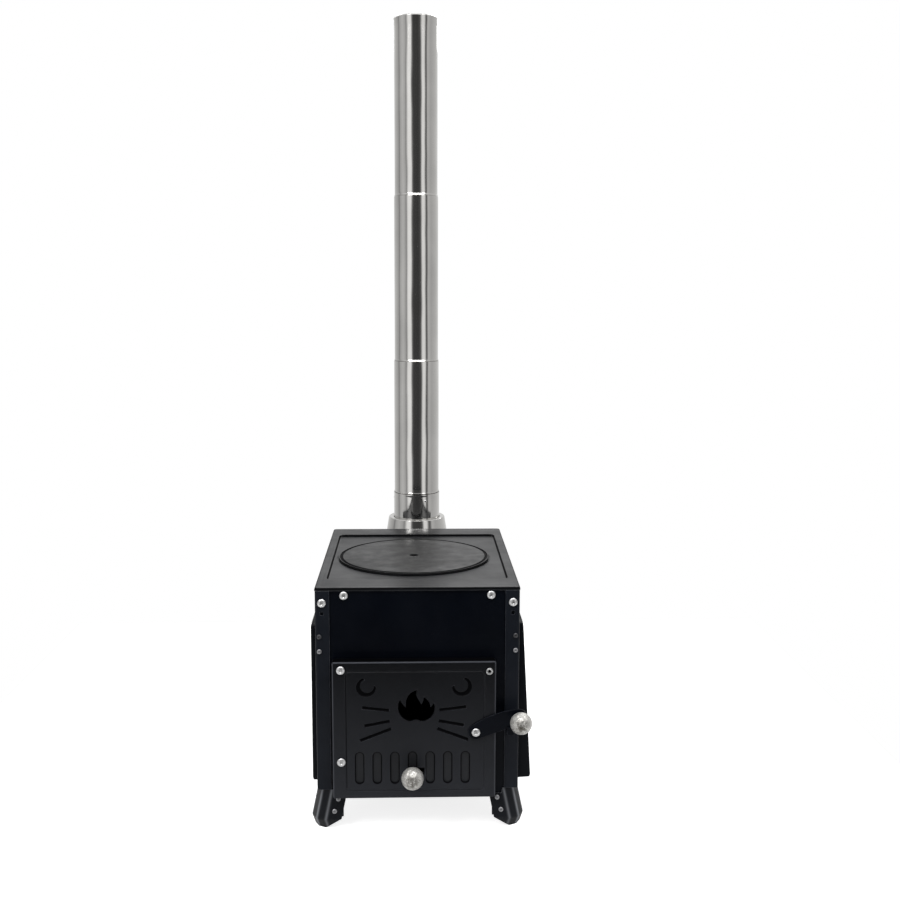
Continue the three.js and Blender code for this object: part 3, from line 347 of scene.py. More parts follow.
# Bright steels: colour, roughness, and the depths of the streaks and the waves in metres.
STEELS = {
    "stainless": ((0.70, 0.69, 0.67), 0.085, 0.000004, 0.0016),
    "bright_zinc": ((0.64, 0.64, 0.64), 0.34, 0.00001, 0.0003),
    "dull_zinc": ((0.30, 0.30, 0.31), 0.42, 0.00001, 0.0003),
    "dark_bolt": ((0.085, 0.085, 0.09), 0.42, 0.00001, 0.0003),
}
materials = {name: stove_paint(name, *values) for name, values in PAINTS.items()}
materials |= {name: bright_steel(name, *values) for name, values in STEELS.items()}
materials["lid_and_grate"] = cast_black("lid_and_grate", (0.0085, 0.0088, 0.0092), 0.40)
materials["polished_steel"] = polished_ball("polished_steel", (0.56, 0.55, 0.525), 0.30)

# --- mesh building


def mark_sharp(bm, angle):
    for edge in bm.edges:
        edge.smooth = len(edge.link_faces) == 2 and edge.calc_face_angle(0) < angle
    for face in bm.faces:
        face.smooth = True


def new_piece(name, bm, body, slot, replaces=(), material=None, sharp=35, outward=None, thickness=0):
    """Turns a bmesh, in millimetres, into a piece that rides on a body. With a thickness it is a sheet drawn
    by its outer face, which looks outward."""
    bmesh.ops.recalc_face_normals(bm, faces=bm.faces)
    if outward is not None and sum(f.normal.dot(outward) * f.calc_area() for f in bm.faces) < 0:
        bmesh.ops.reverse_faces(bm, faces=bm.faces)
    bmesh.ops.scale(bm, vec=(MM, MM, MM), verts=bm.verts)
    mark_sharp(bm, math.radians(sharp))
    has_painted_shade = any(face.material_index for face in bm.faces)
    mesh = bpy.data.meshes.new(name)
    bm.to_mesh(mesh)
    bm.free()
    made = bpy.data.objects.new(name, mesh)
    bpy.context.scene.collection.objects.link(made)
    mesh.materials.append(materials[material or slot])
    # Faces that darken marked take the painted shade.
    if has_painted_shade:
        mesh.materials.append(materials["painted_groove_shade"])
    if thickness:
        sheet = made.modifiers.new("sheet", "SOLIDIFY")
        sheet.thickness = thickness * MM
        sheet.offset = -1
    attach(made, body)
    if replaces:
        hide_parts(*replaces)
    return made


def darken(bm, is_dark):
    """Gives faces the second look, the painted shade of grooves and recesses, by their middles."""
    for face in bm.faces:
        face.material_index = int(is_dark(face.calc_center_median()))


def bevel(piece, width, segments=2):
    made = piece.modifiers.new("soft_edges", "BEVEL")
    made.width = width * MM
    made.segments = segments
    made.limit_method = "ANGLE"
    made.angle_limit = math.radians(32)
    made.harden_normals = True


def refined(node, edge, segments=2, material=None):
    """A copy of a CAD node with its facets joined and its edges rounded."""
    bm = bmesh.new()
    bm.from_mesh(frame["nodes"][node].data)
    bmesh.ops.scale(bm, vec=(1 / MM, 1 / MM, 1 / MM), verts=bm.verts)
    bmesh.ops.remove_doubles(bm, verts=bm.verts, dist=0.004)
    bmesh.ops.dissolve_limit(bm, angle_limit=math.radians(0.6), verts=bm.verts, edges=bm.edges)
    piece = new_piece(f"{node}_skin", bm, body_of[node], slot_of[node], [node], material)
    bevel(piece, edge, segments)


def strip_faces(bm, first, second, closed=True):
    """Quads between two rows of vertices. A row of one vertex is a point."""
    count = max(len(first), len(second))
    for i in range(count if closed else count - 1):
        j = (i + 1) % count
        corners = []
        for row, index in ((first, i), (first, j), (second, j), (second, i)):
            vert = row[index % len(row)]
            if vert not in corners:
                corners.append(vert)
        if len(corners) > 2:
            bm.faces.new(corners)


def add_rows(bm, rows, closed=True, loop=False):
    """Skins rows of points. loop joins the last row to the first."""
    made = [[bm.verts.new(point) for point in row] for row in rows]
    for first, second in zip(made, made[1:]):
        strip_faces(bm, first, second, closed)
    if loop:
        strip_faces(bm, made[-1], made[0], closed)
    return made


def turned_rows(profile, centre, steps, facing=None, shape=None):
    """Rows of a form turned about Z, or about Y when it is facing the back (1) or the front (-1). Profile
    holds (radius, reach), and shape may change the radius by angle and reach."""
    rows = []
    for radius, reach in profile:
        row = []
        for i in range(steps if radius else 1):
            angle = 2 * math.pi * i / steps
            r = radius + (shape(angle, reach) if shape else 0)
            a, b = r * math.cos(angle), r * math.sin(angle)
            row.append(centre + Vector((a, b, reach) if facing is None else (a, facing * reach, b)))
        rows.append(row)
    return rows


def arc(centre, radius, start, end, steps):
    """Points of an arc in degrees, as (across, along) pairs."""
    points = []
    for i in range(steps + 1):
        angle = math.radians(start + (end - start) * i / steps)
        points.append((centre[0] + radius * math.cos(angle), centre[1] + radius * math.sin(angle)))
    return points


# Sides of the middle on which a rounded rectangle has its corners, and where each corner's arc starts.
CORNERS = ((1, 1, 0), (-1, 1, 90), (-1, -1, 180), (1, -1, 270))


def corner_arcs(middle_x, middle_y, half_x, half_y, radius, steps=5):
    arcs = []
    for side_x, side_y, start in CORNERS:
        centre = (middle_x + side_x * (half_x - radius), middle_y + side_y * (half_y - radius))
        arcs.append(arc(centre, radius, start, start + 90, steps))
    return arcs


def add_box(bm, low, high):
    low, high = Vector(low), Vector(high)
    for vert in bmesh.ops.create_cube(bm, size=1)["verts"]:
        vert.co = low + Vector([(c + 0.5) * s for c, s in zip(vert.co, high - low)])


# --- screws


def bolt_head_rows(radius, height, facing, steps=36, rings=12):
    """A pan head whose crown has a cross recess."""
    reach = radius * 0.52
    slot_half = radius * 0.13
    depth = height * 0.62
    crown_radius = radius * 0.93
    rows = [[Vector((0, facing * (height - depth), 0))]]
    for k in range(1, rings + 1):
        share = k / rings
        crown = height * (1 - 0.42 * share**2.6)
        row = []
        for i in range(steps):
            angle = 2 * math.pi * i / steps
            x, z = crown_radius * share * math.cos(angle), crown_radius * share * math.sin(angle)
            across, along = sorted((abs(x), abs(z)))
            in_arm = max(0.0, 1 - (across / slot_half) ** 4)
            in_reach = max(0.0, min(1.0, (reach - along) / (0.3 * radius)))
            row.append(Vector((x, facing * (crown - depth * in_arm * in_reach), z)))
        rows.append(row)
    side = [(radius, height * 0.42), (radius, height * 0.12), (radius * 0.97, 0)]
    return rows + turned_rows(side, Vector(), steps, facing)


# Looks of the screws that aren't bright, by how their names begin.
SCREW_LOOKS = {"leg_bolt": "dull_zinc", "post_pin": "dull_zinc", "shelf_bolt": "dark_bolt"}
SHANK = 1.95
WIDE_NUT = (3.6, 2.6)  # radius and height
SLIM_NUT = (2.6, 2.0)
LARGE_HEAD = (4.7, 2.6)
SMALL_HEAD = (2.7, 1.6)
LARGE_HEADS = ("post_screw", "panel_screw", "door_screw", "latch_screw")
SMALL_HEADS = ("leg_bolt", "shelf_bolt", "post_pin")


def screw(name, seat, head, length, facing, node=None, nut=WIDE_NUT, body="firebox", tilt=0.0):
    """A cross-head screw with its shank and hexagon nut. Seat is the middle of the face under the head, and
    tilt, about X, is for a screw that isn't level."""
    bm = bmesh.new()
    add_rows(bm, bolt_head_rows(*head, facing))
    end = -length - 1.6
    shank = [(head[0] * 0.97, 0), (SHANK, 0), (SHANK, end), (0, end)]
    add_rows(bm, turned_rows(shank, Vector(), 36, facing))
    bore, (radius, height) = SHANK + 0.01, nut
    far = -length - height
    ring = [(bore, far), (radius * 0.9, far), (radius, far + 0.4), (radius, -length), (bore, -length)]
    add_rows(bm, turned_rows(ring, Vector(), 6, facing), loop=True)
    bmesh.ops.remove_doubles(bm, verts=bm.verts, dist=0.001)
    bm.transform(Matrix.Translation(seat) @ Matrix.Rotation(tilt, 4, "X"))
    look = next((look for start, look in SCREW_LOOKS.items() if name.startswith(start)), "bright_zinc")
    new_piece(name, bm, body, "bright_zinc", [node] if node else (), look, sharp=30)


def add_screws():
    for node in sorted(body_of):
        if not node.startswith(LARGE_HEADS + SMALL_HEADS):
            continue
        low, high = box(node)
        facing = 1 if "_rear_" in node else -1
        head = LARGE_HEAD if node.startswith(LARGE_HEADS) else SMALL_HEAD
        if node.startswith("leg_bolt"):
            side = -1 if node.endswith("left") else 1
            x, z = LEG_BOLTS["upper" if "_upper_" in node else "lower"]
            tilt = facing * LEG_TILT
            sheet_face = Vector((home.x + side * x, post_face(facing) + facing * leg_sweep(z), z))
            seat = sheet_face + Matrix.Rotation(tilt, 3, "X") @ Vector((0, facing * LEG_BOLT_GAP, 0))
            screw(f"{node}_turned", seat, head, LEG_BOLT_GRIP, facing, node, tilt=tilt)
            continue
        tip = high.y if facing > 0 else low.y
        seat = Vector((middle(node).x, tip - facing * head[1], middle(node).z))
        nut = SLIM_NUT if node.startswith(("door_screw", "post_pin")) else WIDE_NUT
        length = high.y - low.y - head[1] - nut[1]
        screw(f"{node}_turned", seat, head, length, facing, node, nut, body_of[node])
    # The rear posts have the same large screws as the front ones.
    for side in ("left", "right"):
        front = middle(f"post_screw_{side}")
        seat = Vector((front.x, post_face(1) + 0.3, front.z))
        screw(f"post_screw_rear_{side}", seat, LARGE_HEAD, 4.0, 1)


# --- ball knobs


KNOB_NECK = 3.6
KNOB_STEM = 2.15
KNOB_NUT = 3.6
# Heights of the nut and of the gap between it and the ferrule.
KNOB_GAPS = {"damper_knob": (2.6, 4.4), "latch_knob": (2.0, 2.6)}
DARK_REFLECTION_REACH = 0.88  # of a ball's radius, as seen from the front, over which the dark reflection is painted


def knob(node):
    """A polished ball on a flared neck, with a ferrule and the nut behind."""
    low, high = box(node)
    radius = (high.x - low.x) / 2
    centre = Vector((middle(node).x, low.y + radius, middle(node).z))
    neck_end = math.sqrt(radius**2 - KNOB_NECK**2)
    nut_height, gap = KNOB_GAPS[node]
    back = centre.y - high.y
    foot = back + nut_height + gap
    ball = arc((0, 0), radius, -90 + math.degrees(math.asin(KNOB_NECK / radius)), 90, 26)
    ball[-1] = (0, radius)
    neck = [
        (0, back),
        (KNOB_STEM, back),
        (KNOB_STEM, foot),
        (KNOB_NECK + 1.3, foot),
        (KNOB_NECK + 1.3, foot + 1.4),
        (KNOB_NECK, foot + 2.2),
        (KNOB_NECK - 0.6, (foot - neck_end) / 2),
        (KNOB_NECK, -neck_end - 0.4),
    ]
    bm = bmesh.new()
    # Painted dark reflection, strongest at the front of the ball and gone before its rim.
    dark_reflection = bm.verts.layers.float.new("dark_reflection")
    for row in add_rows(bm, turned_rows(neck + ball, centre, 56, -1)):
        for vert in row:
            out = math.hypot(vert.co.x - centre.x, vert.co.z - centre.z) / radius
            vert[dark_reflection] = max(0.0, 1 - (out / DARK_REFLECTION_REACH) ** 2)
    nut = [(KNOB_STEM, back), (KNOB_NUT - 0.3, back), (KNOB_NUT, back + 0.4)]
    nut += [(KNOB_NUT, back + nut_height), (KNOB_STEM, back + nut_height)]
    add_rows(bm, turned_rows(nut, centre, 6, -1), loop=True)
    bmesh.ops.remove_doubles(bm, verts=bm.verts, dist=0.001)
    new_piece(f"{node}_ball", bm, body_of[node], "polished_steel", [node], sharp=40)


# --- chimney

PIPE_STEPS = 144
PIPE_WALL = 0.5
PIPE_BEAD = 0.9  # how much wider the CAD's bead is than the pipe
PIPE_REST = 0.3  # between a section's bead and the rim below
BEAD_SWELL = 0.5
BEAD_RISE = 2.2
HEM_DROP = 10  # pressed line under the uppermost rim
HEM_SWELL = 0.34
SEAM_ANGLE = math.radians(28)  # lock seam, turned a little past the right-hand side
SEAM_WIDTH = 6.0
SEAM_HEIGHT = 0.28
SEAM_EDGE = 0.8
SEAM_RADIUS = 30.0  # of the pipes, near enough for the seam's width
WAVE_DEPTH = 0.085
WAVE_LENGTH = 90


def sheet_wave(seed):
    """Small unevenness of a rolled tube and its raised lock seam."""

    def offset(angle, height):
        place = Vector((math.cos(angle) * 0.9, math.sin(angle) * 0.9, height / WAVE_LENGTH + seed))
        turn = (angle - SEAM_ANGLE + math.pi) % (2 * math.pi) - math.pi
        from_edge = (SEAM_WIDTH + SEAM_EDGE) / 2 - abs(turn) * SEAM_RADIUS
        return WAVE_DEPTH * noise.noise(place) + SEAM_HEIGHT * max(0.0, min(1.0, from_edge / SEAM_EDGE))

    return offset


def pipe(node, rest, hem, seed):
    """A chimney section of thin sheet with a rolled bead that rests on the section below."""
    low, high = box(node)
    centre = middle(node)
    base = Vector((centre.x, centre.y, 0))
    radius = (high.x - low.x) / 2 - PIPE_BEAD
    levels = [low.z + (high.z - low.z) * i / 60 for i in range(60)]
    outside = [(radius, z) for z in levels if not rest - 1.2 < z < rest + BEAD_RISE + 1.2]
    outside += [(radius, rest - 0.2), (radius, rest + BEAD_RISE + 0.2)]
    shares = [t / 8 for t in range(1, 8)]
    outside += [(radius + BEAD_SWELL * math.sin(math.pi * t), rest + BEAD_RISE * t) for t in shares]
    if hem:
        line = high.z - HEM_DROP
        outside = [(r, z) for r, z in outside if z < line - 1]
        outside += [(radius, line), (radius + 0.12, line + 0.6), (radius + 0.30, line + 1.6)]
        lip = radius + HEM_SWELL
        outside += [(lip, high.z - 4)] + [(lip + r, z) for r, z in arc((0, high.z - 1), 0.5, -70, 60, 6)]
    outside.append((radius, high.z))
    outside.sort(key=lambda point: point[1])
    bore_levels = (high.z, high.z - 60, (high.z + low.z) / 2, low.z + 60, low.z)
    bm = bmesh.new()
    rows = turned_rows(outside, base, PIPE_STEPS, shape=sheet_wave(seed))
    rows += turned_rows([(radius - PIPE_WALL, z) for z in bore_levels], base, PIPE_STEPS)
    add_rows(bm, rows, loop=True)
    new_piece(f"{node}_rolled", bm, body_of[node], "stainless", [node], sharp=50)


def adapter_and_collar():
    low, high = box("flue_adapter")
    centre = middle("flue_adapter")
    base = Vector((centre.x, centre.y, 0))
    radius = (high.x - low.x) / 2
    rim = high.z
    outside = [(radius, low.z + (rim - low.z) * i / 24) for i in range(24)]
    outside += [(radius, rim - 2.2), (radius + 0.25, rim - 1.2), (radius + 0.1, rim - 0.2)]
    bm = bmesh.new()
    rows = turned_rows(outside, base, PIPE_STEPS, shape=sheet_wave(7.3))
    rows += turned_rows([(radius - PIPE_WALL, z) for z in (rim, low.z + 20, low.z)], base, PIPE_STEPS)
    add_rows(bm, rows, loop=True)
    new_piece("flue_adapter_rolled", bm, "firebox", "stainless", ["flue_adapter"], sharp=50)
    # Small rivets hold the adapter's rim in shape, the first of them in front and to the right.
    dome = [(0, 0.9), (1.0, 0.75), (1.7, 0.35), (1.9, 0.0), (1.9, -0.6), (0, -0.6)]
    for k in range(3):
        angle = math.radians(-67.5 + 120 * k)
        out = Vector((math.cos(angle), math.sin(angle), 0))
        place = base + out * (radius - 0.2) + Vector((0, 0, rim - 9))
        turn = Vector((0, 0, 1)).rotation_difference(out).to_matrix()
        bm = bmesh.new()
        add_rows(bm, [[turn @ p + place for p in row] for row in turned_rows(dome, Vector(), 20)])
        new_piece(f"adapter_rivet_{k + 1}", bm, "firebox", "stainless", material="bright_zinc")
    low, high = box("flue_collar")
    foot = (high.x - low.x) / 2
    neck = radius + 0.6
    top = foot - 0.177 * (high.z - low.z) + 0.2
    profile = [
        (foot - 1.1, low.z),
        (foot, low.z),
        (foot, low.z + 2.2),
        (foot - 0.7, low.z + 3.2),
        (top + 0.5, high.z - 1.8),
        (top, high.z - 0.6),
        (top - 0.9, high.z),
        (neck + 0.9, high.z),
        (neck, high.z - 0.6),
        (neck, high.z - 0.9),
        (top - 1.2, high.z - 1.1),
        (foot - 1.5, low.z + 3.0),
    ]
    bm = bmesh.new()
    add_rows(bm, turned_rows(profile, base, PIPE_STEPS), loop=True)
    new_piece("flue_collar_spun", bm, "firebox", "stainless", ["flue_collar"], sharp=28)


# --- top plate and lid


def rect_loop(half_x, half_y, radius, height, side_steps=26):
    """A rounded rectangle round the top's middle, always with the same number of points."""
    arcs = corner_arcs(0, 0, half_x, half_y, radius, 7)
    points = []
    for corner, following in zip(arcs, arcs[1:] + arcs[:1]):
        (x0, y0), (x1, y1) = corner[-1], following[0]
        shares = [i / side_steps for i in range(1, side_steps)]
        points += corner + [(x0 + (x1 - x0) * share, y0 + (y1 - y0) * share) for share in shares]
    return [Vector((home.x + x, home.y + y, height)) for x, y in points]


def circle_like(loop, centre, radius, height):
    """Points of a circle in line with those of a loop round it."""
    made = []
    for point in loop:
        angle = math.atan2(point.y - centre.y, point.x - centre.x)
        x, y = radius * math.cos(angle), radius * math.sin(angle)
        made.append(Vector((centre.x + x, centre.y + y, height)))
    return made


TOP_FOLD = 2.0
TOP_LIP = 3.5  # height of the plate's folded edge
EDGE_LINE = [(5.9, 0.0), (6.3, 0.06), (6.7, 0.0)]  # inset and drop of a faint line inside the plate's edge
RECESS = 2.8  # depth of the pressed middle
RECESS_SIDE = 10.2  # from the plate's left and right edges
RECESS_END = 37.7  # from its front and back edges
RECESS_WALL = [(-0.6, 0.0), (0.0, 0.03), (0.5, 0.22), (0.9, 0.7)]  # inset and drop
RECESS_WALL += [(1.15, 1.6), (1.45, 2.3), (2.0, 2.65), (2.8, RECESS)]
LID_GAP = 1.2
LEDGE_DROP = 3.5
LEDGE_SHEET = 2.2
LEDGE_REACH = 8.2  # under the lid
SKIRT_SHEET = 1.5


def top_plate():
    top = cook_height
    half_x = (top_high.x - top_low.x) / 2
    half_y = (top_high.y - top_low.y) / 2
    lid_low, lid_high = box("cook_lid")
    hole = (lid_high.x - lid_low.x) / 2 + LID_GAP
    rows = [rect_loop(half_x, half_y, 2.5, top - TOP_LIP)]
    for r, z in arc((half_x - TOP_FOLD, top - TOP_FOLD), TOP_FOLD, 0, 90, 5):
        inset = half_x - r
        rows.append(rect_loop(half_x - inset, half_y - inset, 2.5 + inset * 0.2, z))
    rows += [rect_loop(half_x - line, half_y - line, 3, top - drop) for line, drop in EDGE_LINE]
    recess_x, recess_y = half_x - RECESS_SIDE, half_y - RECESS_END
    for inset, drop in RECESS_WALL:
        rows.append(rect_loop(recess_x - inset, recess_y - inset, 8 - inset * 0.6, top - drop))
    flat = rect_loop(recess_x - 5.2, recess_y - 5.2, 5, top - RECESS)
    rows.append(flat)
    # The hole's rim, and the ledge under it that the lid lies on.
    for reach, drop in (
        (1.4, RECESS),
        (0.7, RECESS + 0.05),
        (0.2, RECESS + 0.2),
        (0.0, RECESS + 0.45),
        (0.0, LEDGE_DROP),
        (0.2 - LEDGE_REACH, LEDGE_DROP),
        (-LEDGE_REACH, LEDGE_DROP + 0.3),
        (-LEDGE_REACH, LEDGE_DROP + LEDGE_SHEET),
        (3.0, LEDGE_DROP + LEDGE_SHEET),
        (3.0, LEDGE_DROP + 0.02),
    ):
        rows.append(circle_like(flat, middle("cook_lid"), hole + reach, top - drop))
    rows.append(rect_loop(half_x - 4, half_y - 4, 2, top - TOP_LIP))
    bm = bmesh.new()
    add_rows(bm, rows, loop=True)
    # A skirt at each end, between the side sheets and close to the end panel.
    half_skirt = (box("side_panel_right")[0].x - box("side_panel_left")[1].x) / 2 - 2
    for end, face in ((-1, box("front_panel")[1].y + 0.3), (1, box("rear_panel")[0].y - 0.3)):
        near, far = sorted((face, face - end * SKIRT_SHEET))
        add_box(bm, (home.x - half_skirt, near, top_low.z), (home.x + half_skirt, far, top - TOP_LIP + 0.1))

    # The recess walls take painted shade.
    def in_recess_wall(at):
        out = max(abs(at.x - home.x) - recess_x, abs(at.y - home.y) - recess_y) + 3
        return out > 0 and 0.2 < top - at.z < RECESS - 0.1

    darken(bm, in_recess_wall)
    # The top takes the lighter, lit copy of the body paint.
    new_piece("top_plate_pressed", bm, "firebox", "body_paint", ["top_plate"], "lit_top_paint", 32)


def cook_lid():
    low, high = box("cook_lid")
    radius = (high.x - low.x) / 2
    centre = middle("cook_lid")
    z = high.z
    profile = [(3.0, low.z), (radius - 1.2, low.z), (radius, low.z + 0.8), (radius, z - 1.0)]
    profile += [(radius - 0.8 + dx, z - 0.8 + dz) for dx, dz in arc((0, 0), 0.8, 10, 90, 4)]
    # A groove inside the rim, and the chamfered hole that the lifting tool hooks into.
    for r, drop in ((1.0, 0.0), (1.3, 0.15), (1.7, 1.0), (2.5, 1.3), (3.7, 1.2), (4.5, 0.3), (5.2, 0.0)):
        profile.append((radius - r, z - drop))
    for r, drop in ((60.0, 0.0), (30.0, 0.0), (6.4, 0.0), (5.6, 0.1), (4.0, 1.1), (3.0, 2.0)):
        profile.append((r, z - drop))
    bm = bmesh.new()
    add_rows(bm, turned_rows(profile, Vector((centre.x, centre.y, 0)), 128), loop=True)
    # Faces 0.14 to 1.6 below the top take painted shade: the groove, the hole's chamfer and the rounding of the
    # rim.
    darken(bm, lambda at: 0.14 < z - at.z < 1.6)
    new_piece("cook_lid_cast", bm, "cook_lid", "lid_and_grate", ["cook_lid"], sharp=30)


# --- legs

LEG_HEIGHT = 44.0
LEG_SHEET = 1.5
LEG_FLANGE = 35.0  # each web, corner included
LEG_FOLDS = (16.6, 5.6)  # the corner is folded three times, at these distances from its two faces
LEG_SPLAY = 7.0  # outward sweep at the knee
LEG_TOE = 4.0  # outward sweep at the floor
LEG_KNEE = 11.0
LEG_TOE_WIDTH = 13.5
LEG_SLANT = 12.2  # height of the slanted cut at each free edge
LEG_SHOULDER = 38.5  # top of the end web beside the corner
LEG_SHOULDER_INSET = 17.5  # where it begins, from the post's outer face
LEG_FOLD_HIGHLIGHT = (0.55, 1.0, 0.8)  # brightness of the painted highlight on the three folds, the front one first
LEG_HIGHLIGHT_REACH = 1.6
LEG_TILT = math.atan2(LEG_SPLAY, LEG_HEIGHT - LEG_KNEE)
LEG_BOLTS = {"upper": (90.5, 34.0), "lower": (94.7, 20.5)}  # from the stove's middle, and height
LEG_BOLT_GAP = 0.3
LEG_BOLT_GRIP = 3.9
CORNER_X = box("post_front_right")[1].x - home.x


def post_face(end):
    """Outer face of the front or rear posts."""
    return box("post_rear_right")[1].y if end > 0 else box("post_front_right")[0].y


def leg_sweep(z):
    if z > LEG_KNEE:
        return LEG_SPLAY * (LEG_HEIGHT - z) / (LEG_HEIGHT - LEG_KNEE)
    return LEG_TOE + (LEG_SPLAY - LEG_TOE) * z / LEG_KNEE


def leg(node, side, end):
    """A pressed corner leg: a web along the end, one along the side and two facets between, swept out to a
    knee."""
    long, short = LEG_FOLDS
    path = [(LEG_FLANGE, 0), (long, 0), (short, short), (0, long), (0, LEG_FLANGE)]
    lengths = [math.dist(a, b) for a, b in zip(path, path[1:])]
    total = sum(lengths)
    steps_across, steps_down = 84, 30

    def plan(distance):
        """Distances from the corner's two faces, at a distance along the section."""
        for (u0, v0), (u1, v1), length in zip(path, path[1:], lengths):
            if distance <= length + 1e-9:
                share = distance / length
                return Vector((u0 + (u1 - u0) * share, v0 + (v1 - v0) * share))
            distance -= length
        return Vector(path[-1])

    def smooth_plan(distance):
        """The section with its folds rounded."""
        reach = 1.5
        samples = [plan(min(total, max(0.0, distance + reach * k / 3))) for k in range(-3, 4)]
        return sum(samples, Vector((0, 0))) / len(samples)

    def foot_line(place):
        return LEG_SLANT * max(0.0, (max(place) - LEG_TOE_WIDTH) / (LEG_FLANGE - LEG_TOE_WIDTH))

    def head_line(place):
        if place.y > 1:
            return LEG_HEIGHT
        inner = LEG_SHOULDER_INSET + leg_sweep(LEG_SHOULDER)
        return LEG_HEIGHT + (LEG_SHOULDER - LEG_HEIGHT) * min(1.0, max(0.0, (place.x - inner) / 0.6))

    folds = [sum(lengths[: k + 1]) for k in range(3)]
    # Painted highlights along the three folds.
    worn_and_highlit = []
    for i in range(steps_across + 1):
        away_by = [(total * i / steps_across - fold) / LEG_HIGHLIGHT_REACH for fold in folds]
        worn_and_highlit.append(max(share * math.exp(-gap * gap) for share, gap in zip(LEG_FOLD_HIGHLIGHT, away_by)))
    rows = []
    for j in range(steps_down + 1):
        row = []
        for i in range(steps_across + 1):
            place = smooth_plan(total * i / steps_across)
            z = head_line(place) + (foot_line(place) - head_line(place)) * j / steps_down
            x = side * (CORNER_X + leg_sweep(z) - place.x)
            row.append(Vector((home.x + x, post_face(end) + end * (leg_sweep(z) - place.y), z)))
        rows.append(row)
    bm = bmesh.new()
    painted_light = bm.verts.layers.float.new("painted_light")
    for row in add_rows(bm, rows, closed=False):
        for vert, amount in zip(row, worn_and_highlit):
            vert[painted_light] = amount
    # The leg takes the lighter, lit copy of the body paint.
    look = ("lit_leg_paint", 40, Vector((side, end, 0)), LEG_SHEET - 0.1)
    new_piece(f"{node}_pressed", bm, "firebox", "body_paint", [node], *look)
    # Turned-in pad that the leg stands on.
    facet = short * (long - LEG_TOE_WIDTH) / (long - short) + LEG_SHEET / 2
    near = short + LEG_SHEET / 2
    outline = [(LEG_TOE_WIDTH, facet), (near, near), (facet, LEG_TOE_WIDTH), (LEG_TOE_WIDTH, LEG_TOE_WIDTH)]
    floor_x, floor_y = home.x + side * (CORNER_X + LEG_TOE), post_face(end) + end * LEG_TOE
    plan_points = [(floor_x - side * u, floor_y - end * v) for u, v in outline]
    bm = bmesh.new()
    for row in add_rows(bm, [[Vector((x, y, z)) for x, y in plan_points] for z in (0.0, LEG_SHEET)]):
        bm.faces.new(row)
    bevel(new_piece(f"{node}_pad", bm, "firebox", "body_paint"), 0.4)


GUSSET_SETBACKS = (1.85, 3.2)  # behind the posts' outer face
GUSSET_DROP = 2.5
GUSSET_RISE = 2.0


def tab_gusset(side, end):
    """Corner of an end panel beside its tab, let down behind the head of the leg."""
    panel = "front_panel" if end < 0 else "rear_panel"
    near, far = sorted(post_face(end) - end * setback for setback in GUSSET_SETBACKS)
    tab_edge = CORNER_X - LEG_SHOULDER_INSET
    x0, x1 = sorted(home.x + side * x for x in (tab_edge - 0.2, tab_edge + 3.0))
    bm = bmesh.new()
    add_box(bm, (x0, near, LEG_HEIGHT - GUSSET_DROP), (x1, far, LEG_HEIGHT + GUSSET_RISE))
    new_piece(f"{panel}_gusset_{'left' if side < 0 else 'right'}", bm, "firebox", "body_paint")


# --- side shelves


SHELF_FOLD = 2.2
SHELF_SHEET = 1.2
RIGHT_SHELF_OPEN = math.radians(3.1)  # it hangs slightly open
SHELF_FIELD = ((16.0, 0.0), (17.2, 0.15), (18.6, 0.75), (19.8, 0.9))  # inset and drop of its edge


def shelf(node, side, joint, angle):
    """A pressed pan with rounded folds, a stiffening field and rolled lips."""
    pivot = Vector(joints[joint]["pos_m"]) / MM
    left_pivot = Vector(joints["shelf_left_fold"]["pos_m"]) / MM
    low, high = box("side_shelf_left")
    half_y = (high.y - low.y) / 2
    outer = left_pivot.x - low.x
    inner = left_pivot.x - high.x
    top, bottom = high.z - left_pivot.z, low.z - left_pivot.z
    mid_z, half_z = (top + bottom) / 2, (top - bottom) / 2
    turn = Matrix.Rotation(-side * angle, 3, "Y")

    def loop(depth, inset, radius):
        points = sum(corner_arcs(0, mid_z, half_y - inset, half_z - inset, radius), [])
        return [turn @ Vector((side * depth, y, z)) + Vector((pivot.x, home.y, pivot.z)) for y, z in points]

    rows = [loop(inner, 0.9, 2.0), loop(inner + 0.3, 0.25, 2.4), loop(inner + 1.0, 0.0, 2.5)]
    for depth, reach in arc((outer - SHELF_FOLD, 0), SHELF_FOLD, 0, 90, 5)[::-1]:
        inset = SHELF_FOLD - reach
        rows.append(loop(depth, inset, 2.6 + inset * 0.3))
    for inset, drop in SHELF_FIELD:
        rows.append(loop(outer - drop, inset, 6.0))
    bm = bmesh.new()
    bm.faces.new(add_rows(bm, rows)[-1])
    look = ("shelf_paint", 50, Vector((side, 0, 0)), SHELF_SHEET)
    new_piece(f"{node}_pressed", bm, body_of[node], "body_paint", [node], *look)


# --- door


DOOR_FOLD = 1.7  # outer radius of the door's folds
DOOR_SHEET = 1.5
DOOR_FACE = 2.0
GROOVE = [(-1.2, 0.0), (-0.6, 0.0), (-0.3, 0.10), (0.0, 0.45), (0.4, 1.10), (0.85, 1.35)]  # inset, drop
LINE = [(-0.6, 0.0), (-0.3, 0.0), (0.0, 0.10), (0.35, 0.45), (0.75, 0.75)]
RIM = [(-1.2, 0.0), (-0.9, 0.0), (-0.5, 0.10), (-0.2, 0.35), (0.0, 0.75)]  # round the cut-outs
SLOT_RIM = [(-2.0, 0.0), (-1.6, 0.05), (-1.1, 0.32), (-0.5, 0.75), (0.0, 1.0)]
SHADED_DROP = 0.25  # pressed deeper than this, the door takes the painted shade of its grooves
ORNAMENT_MARGIN = 15.0  # the ornament and the slots lie further in than this
# Painted highlight on the door's folds.
DOOR_FOLD_HIGHLIGHT = 0.40
DOOR_LOWER_LIGHT = 0.16  # painted light: share of the lighter edge colour at the door's lower edge, fading upwards


# Each outline below is anticlockwise and drawn in by its last argument, inset.


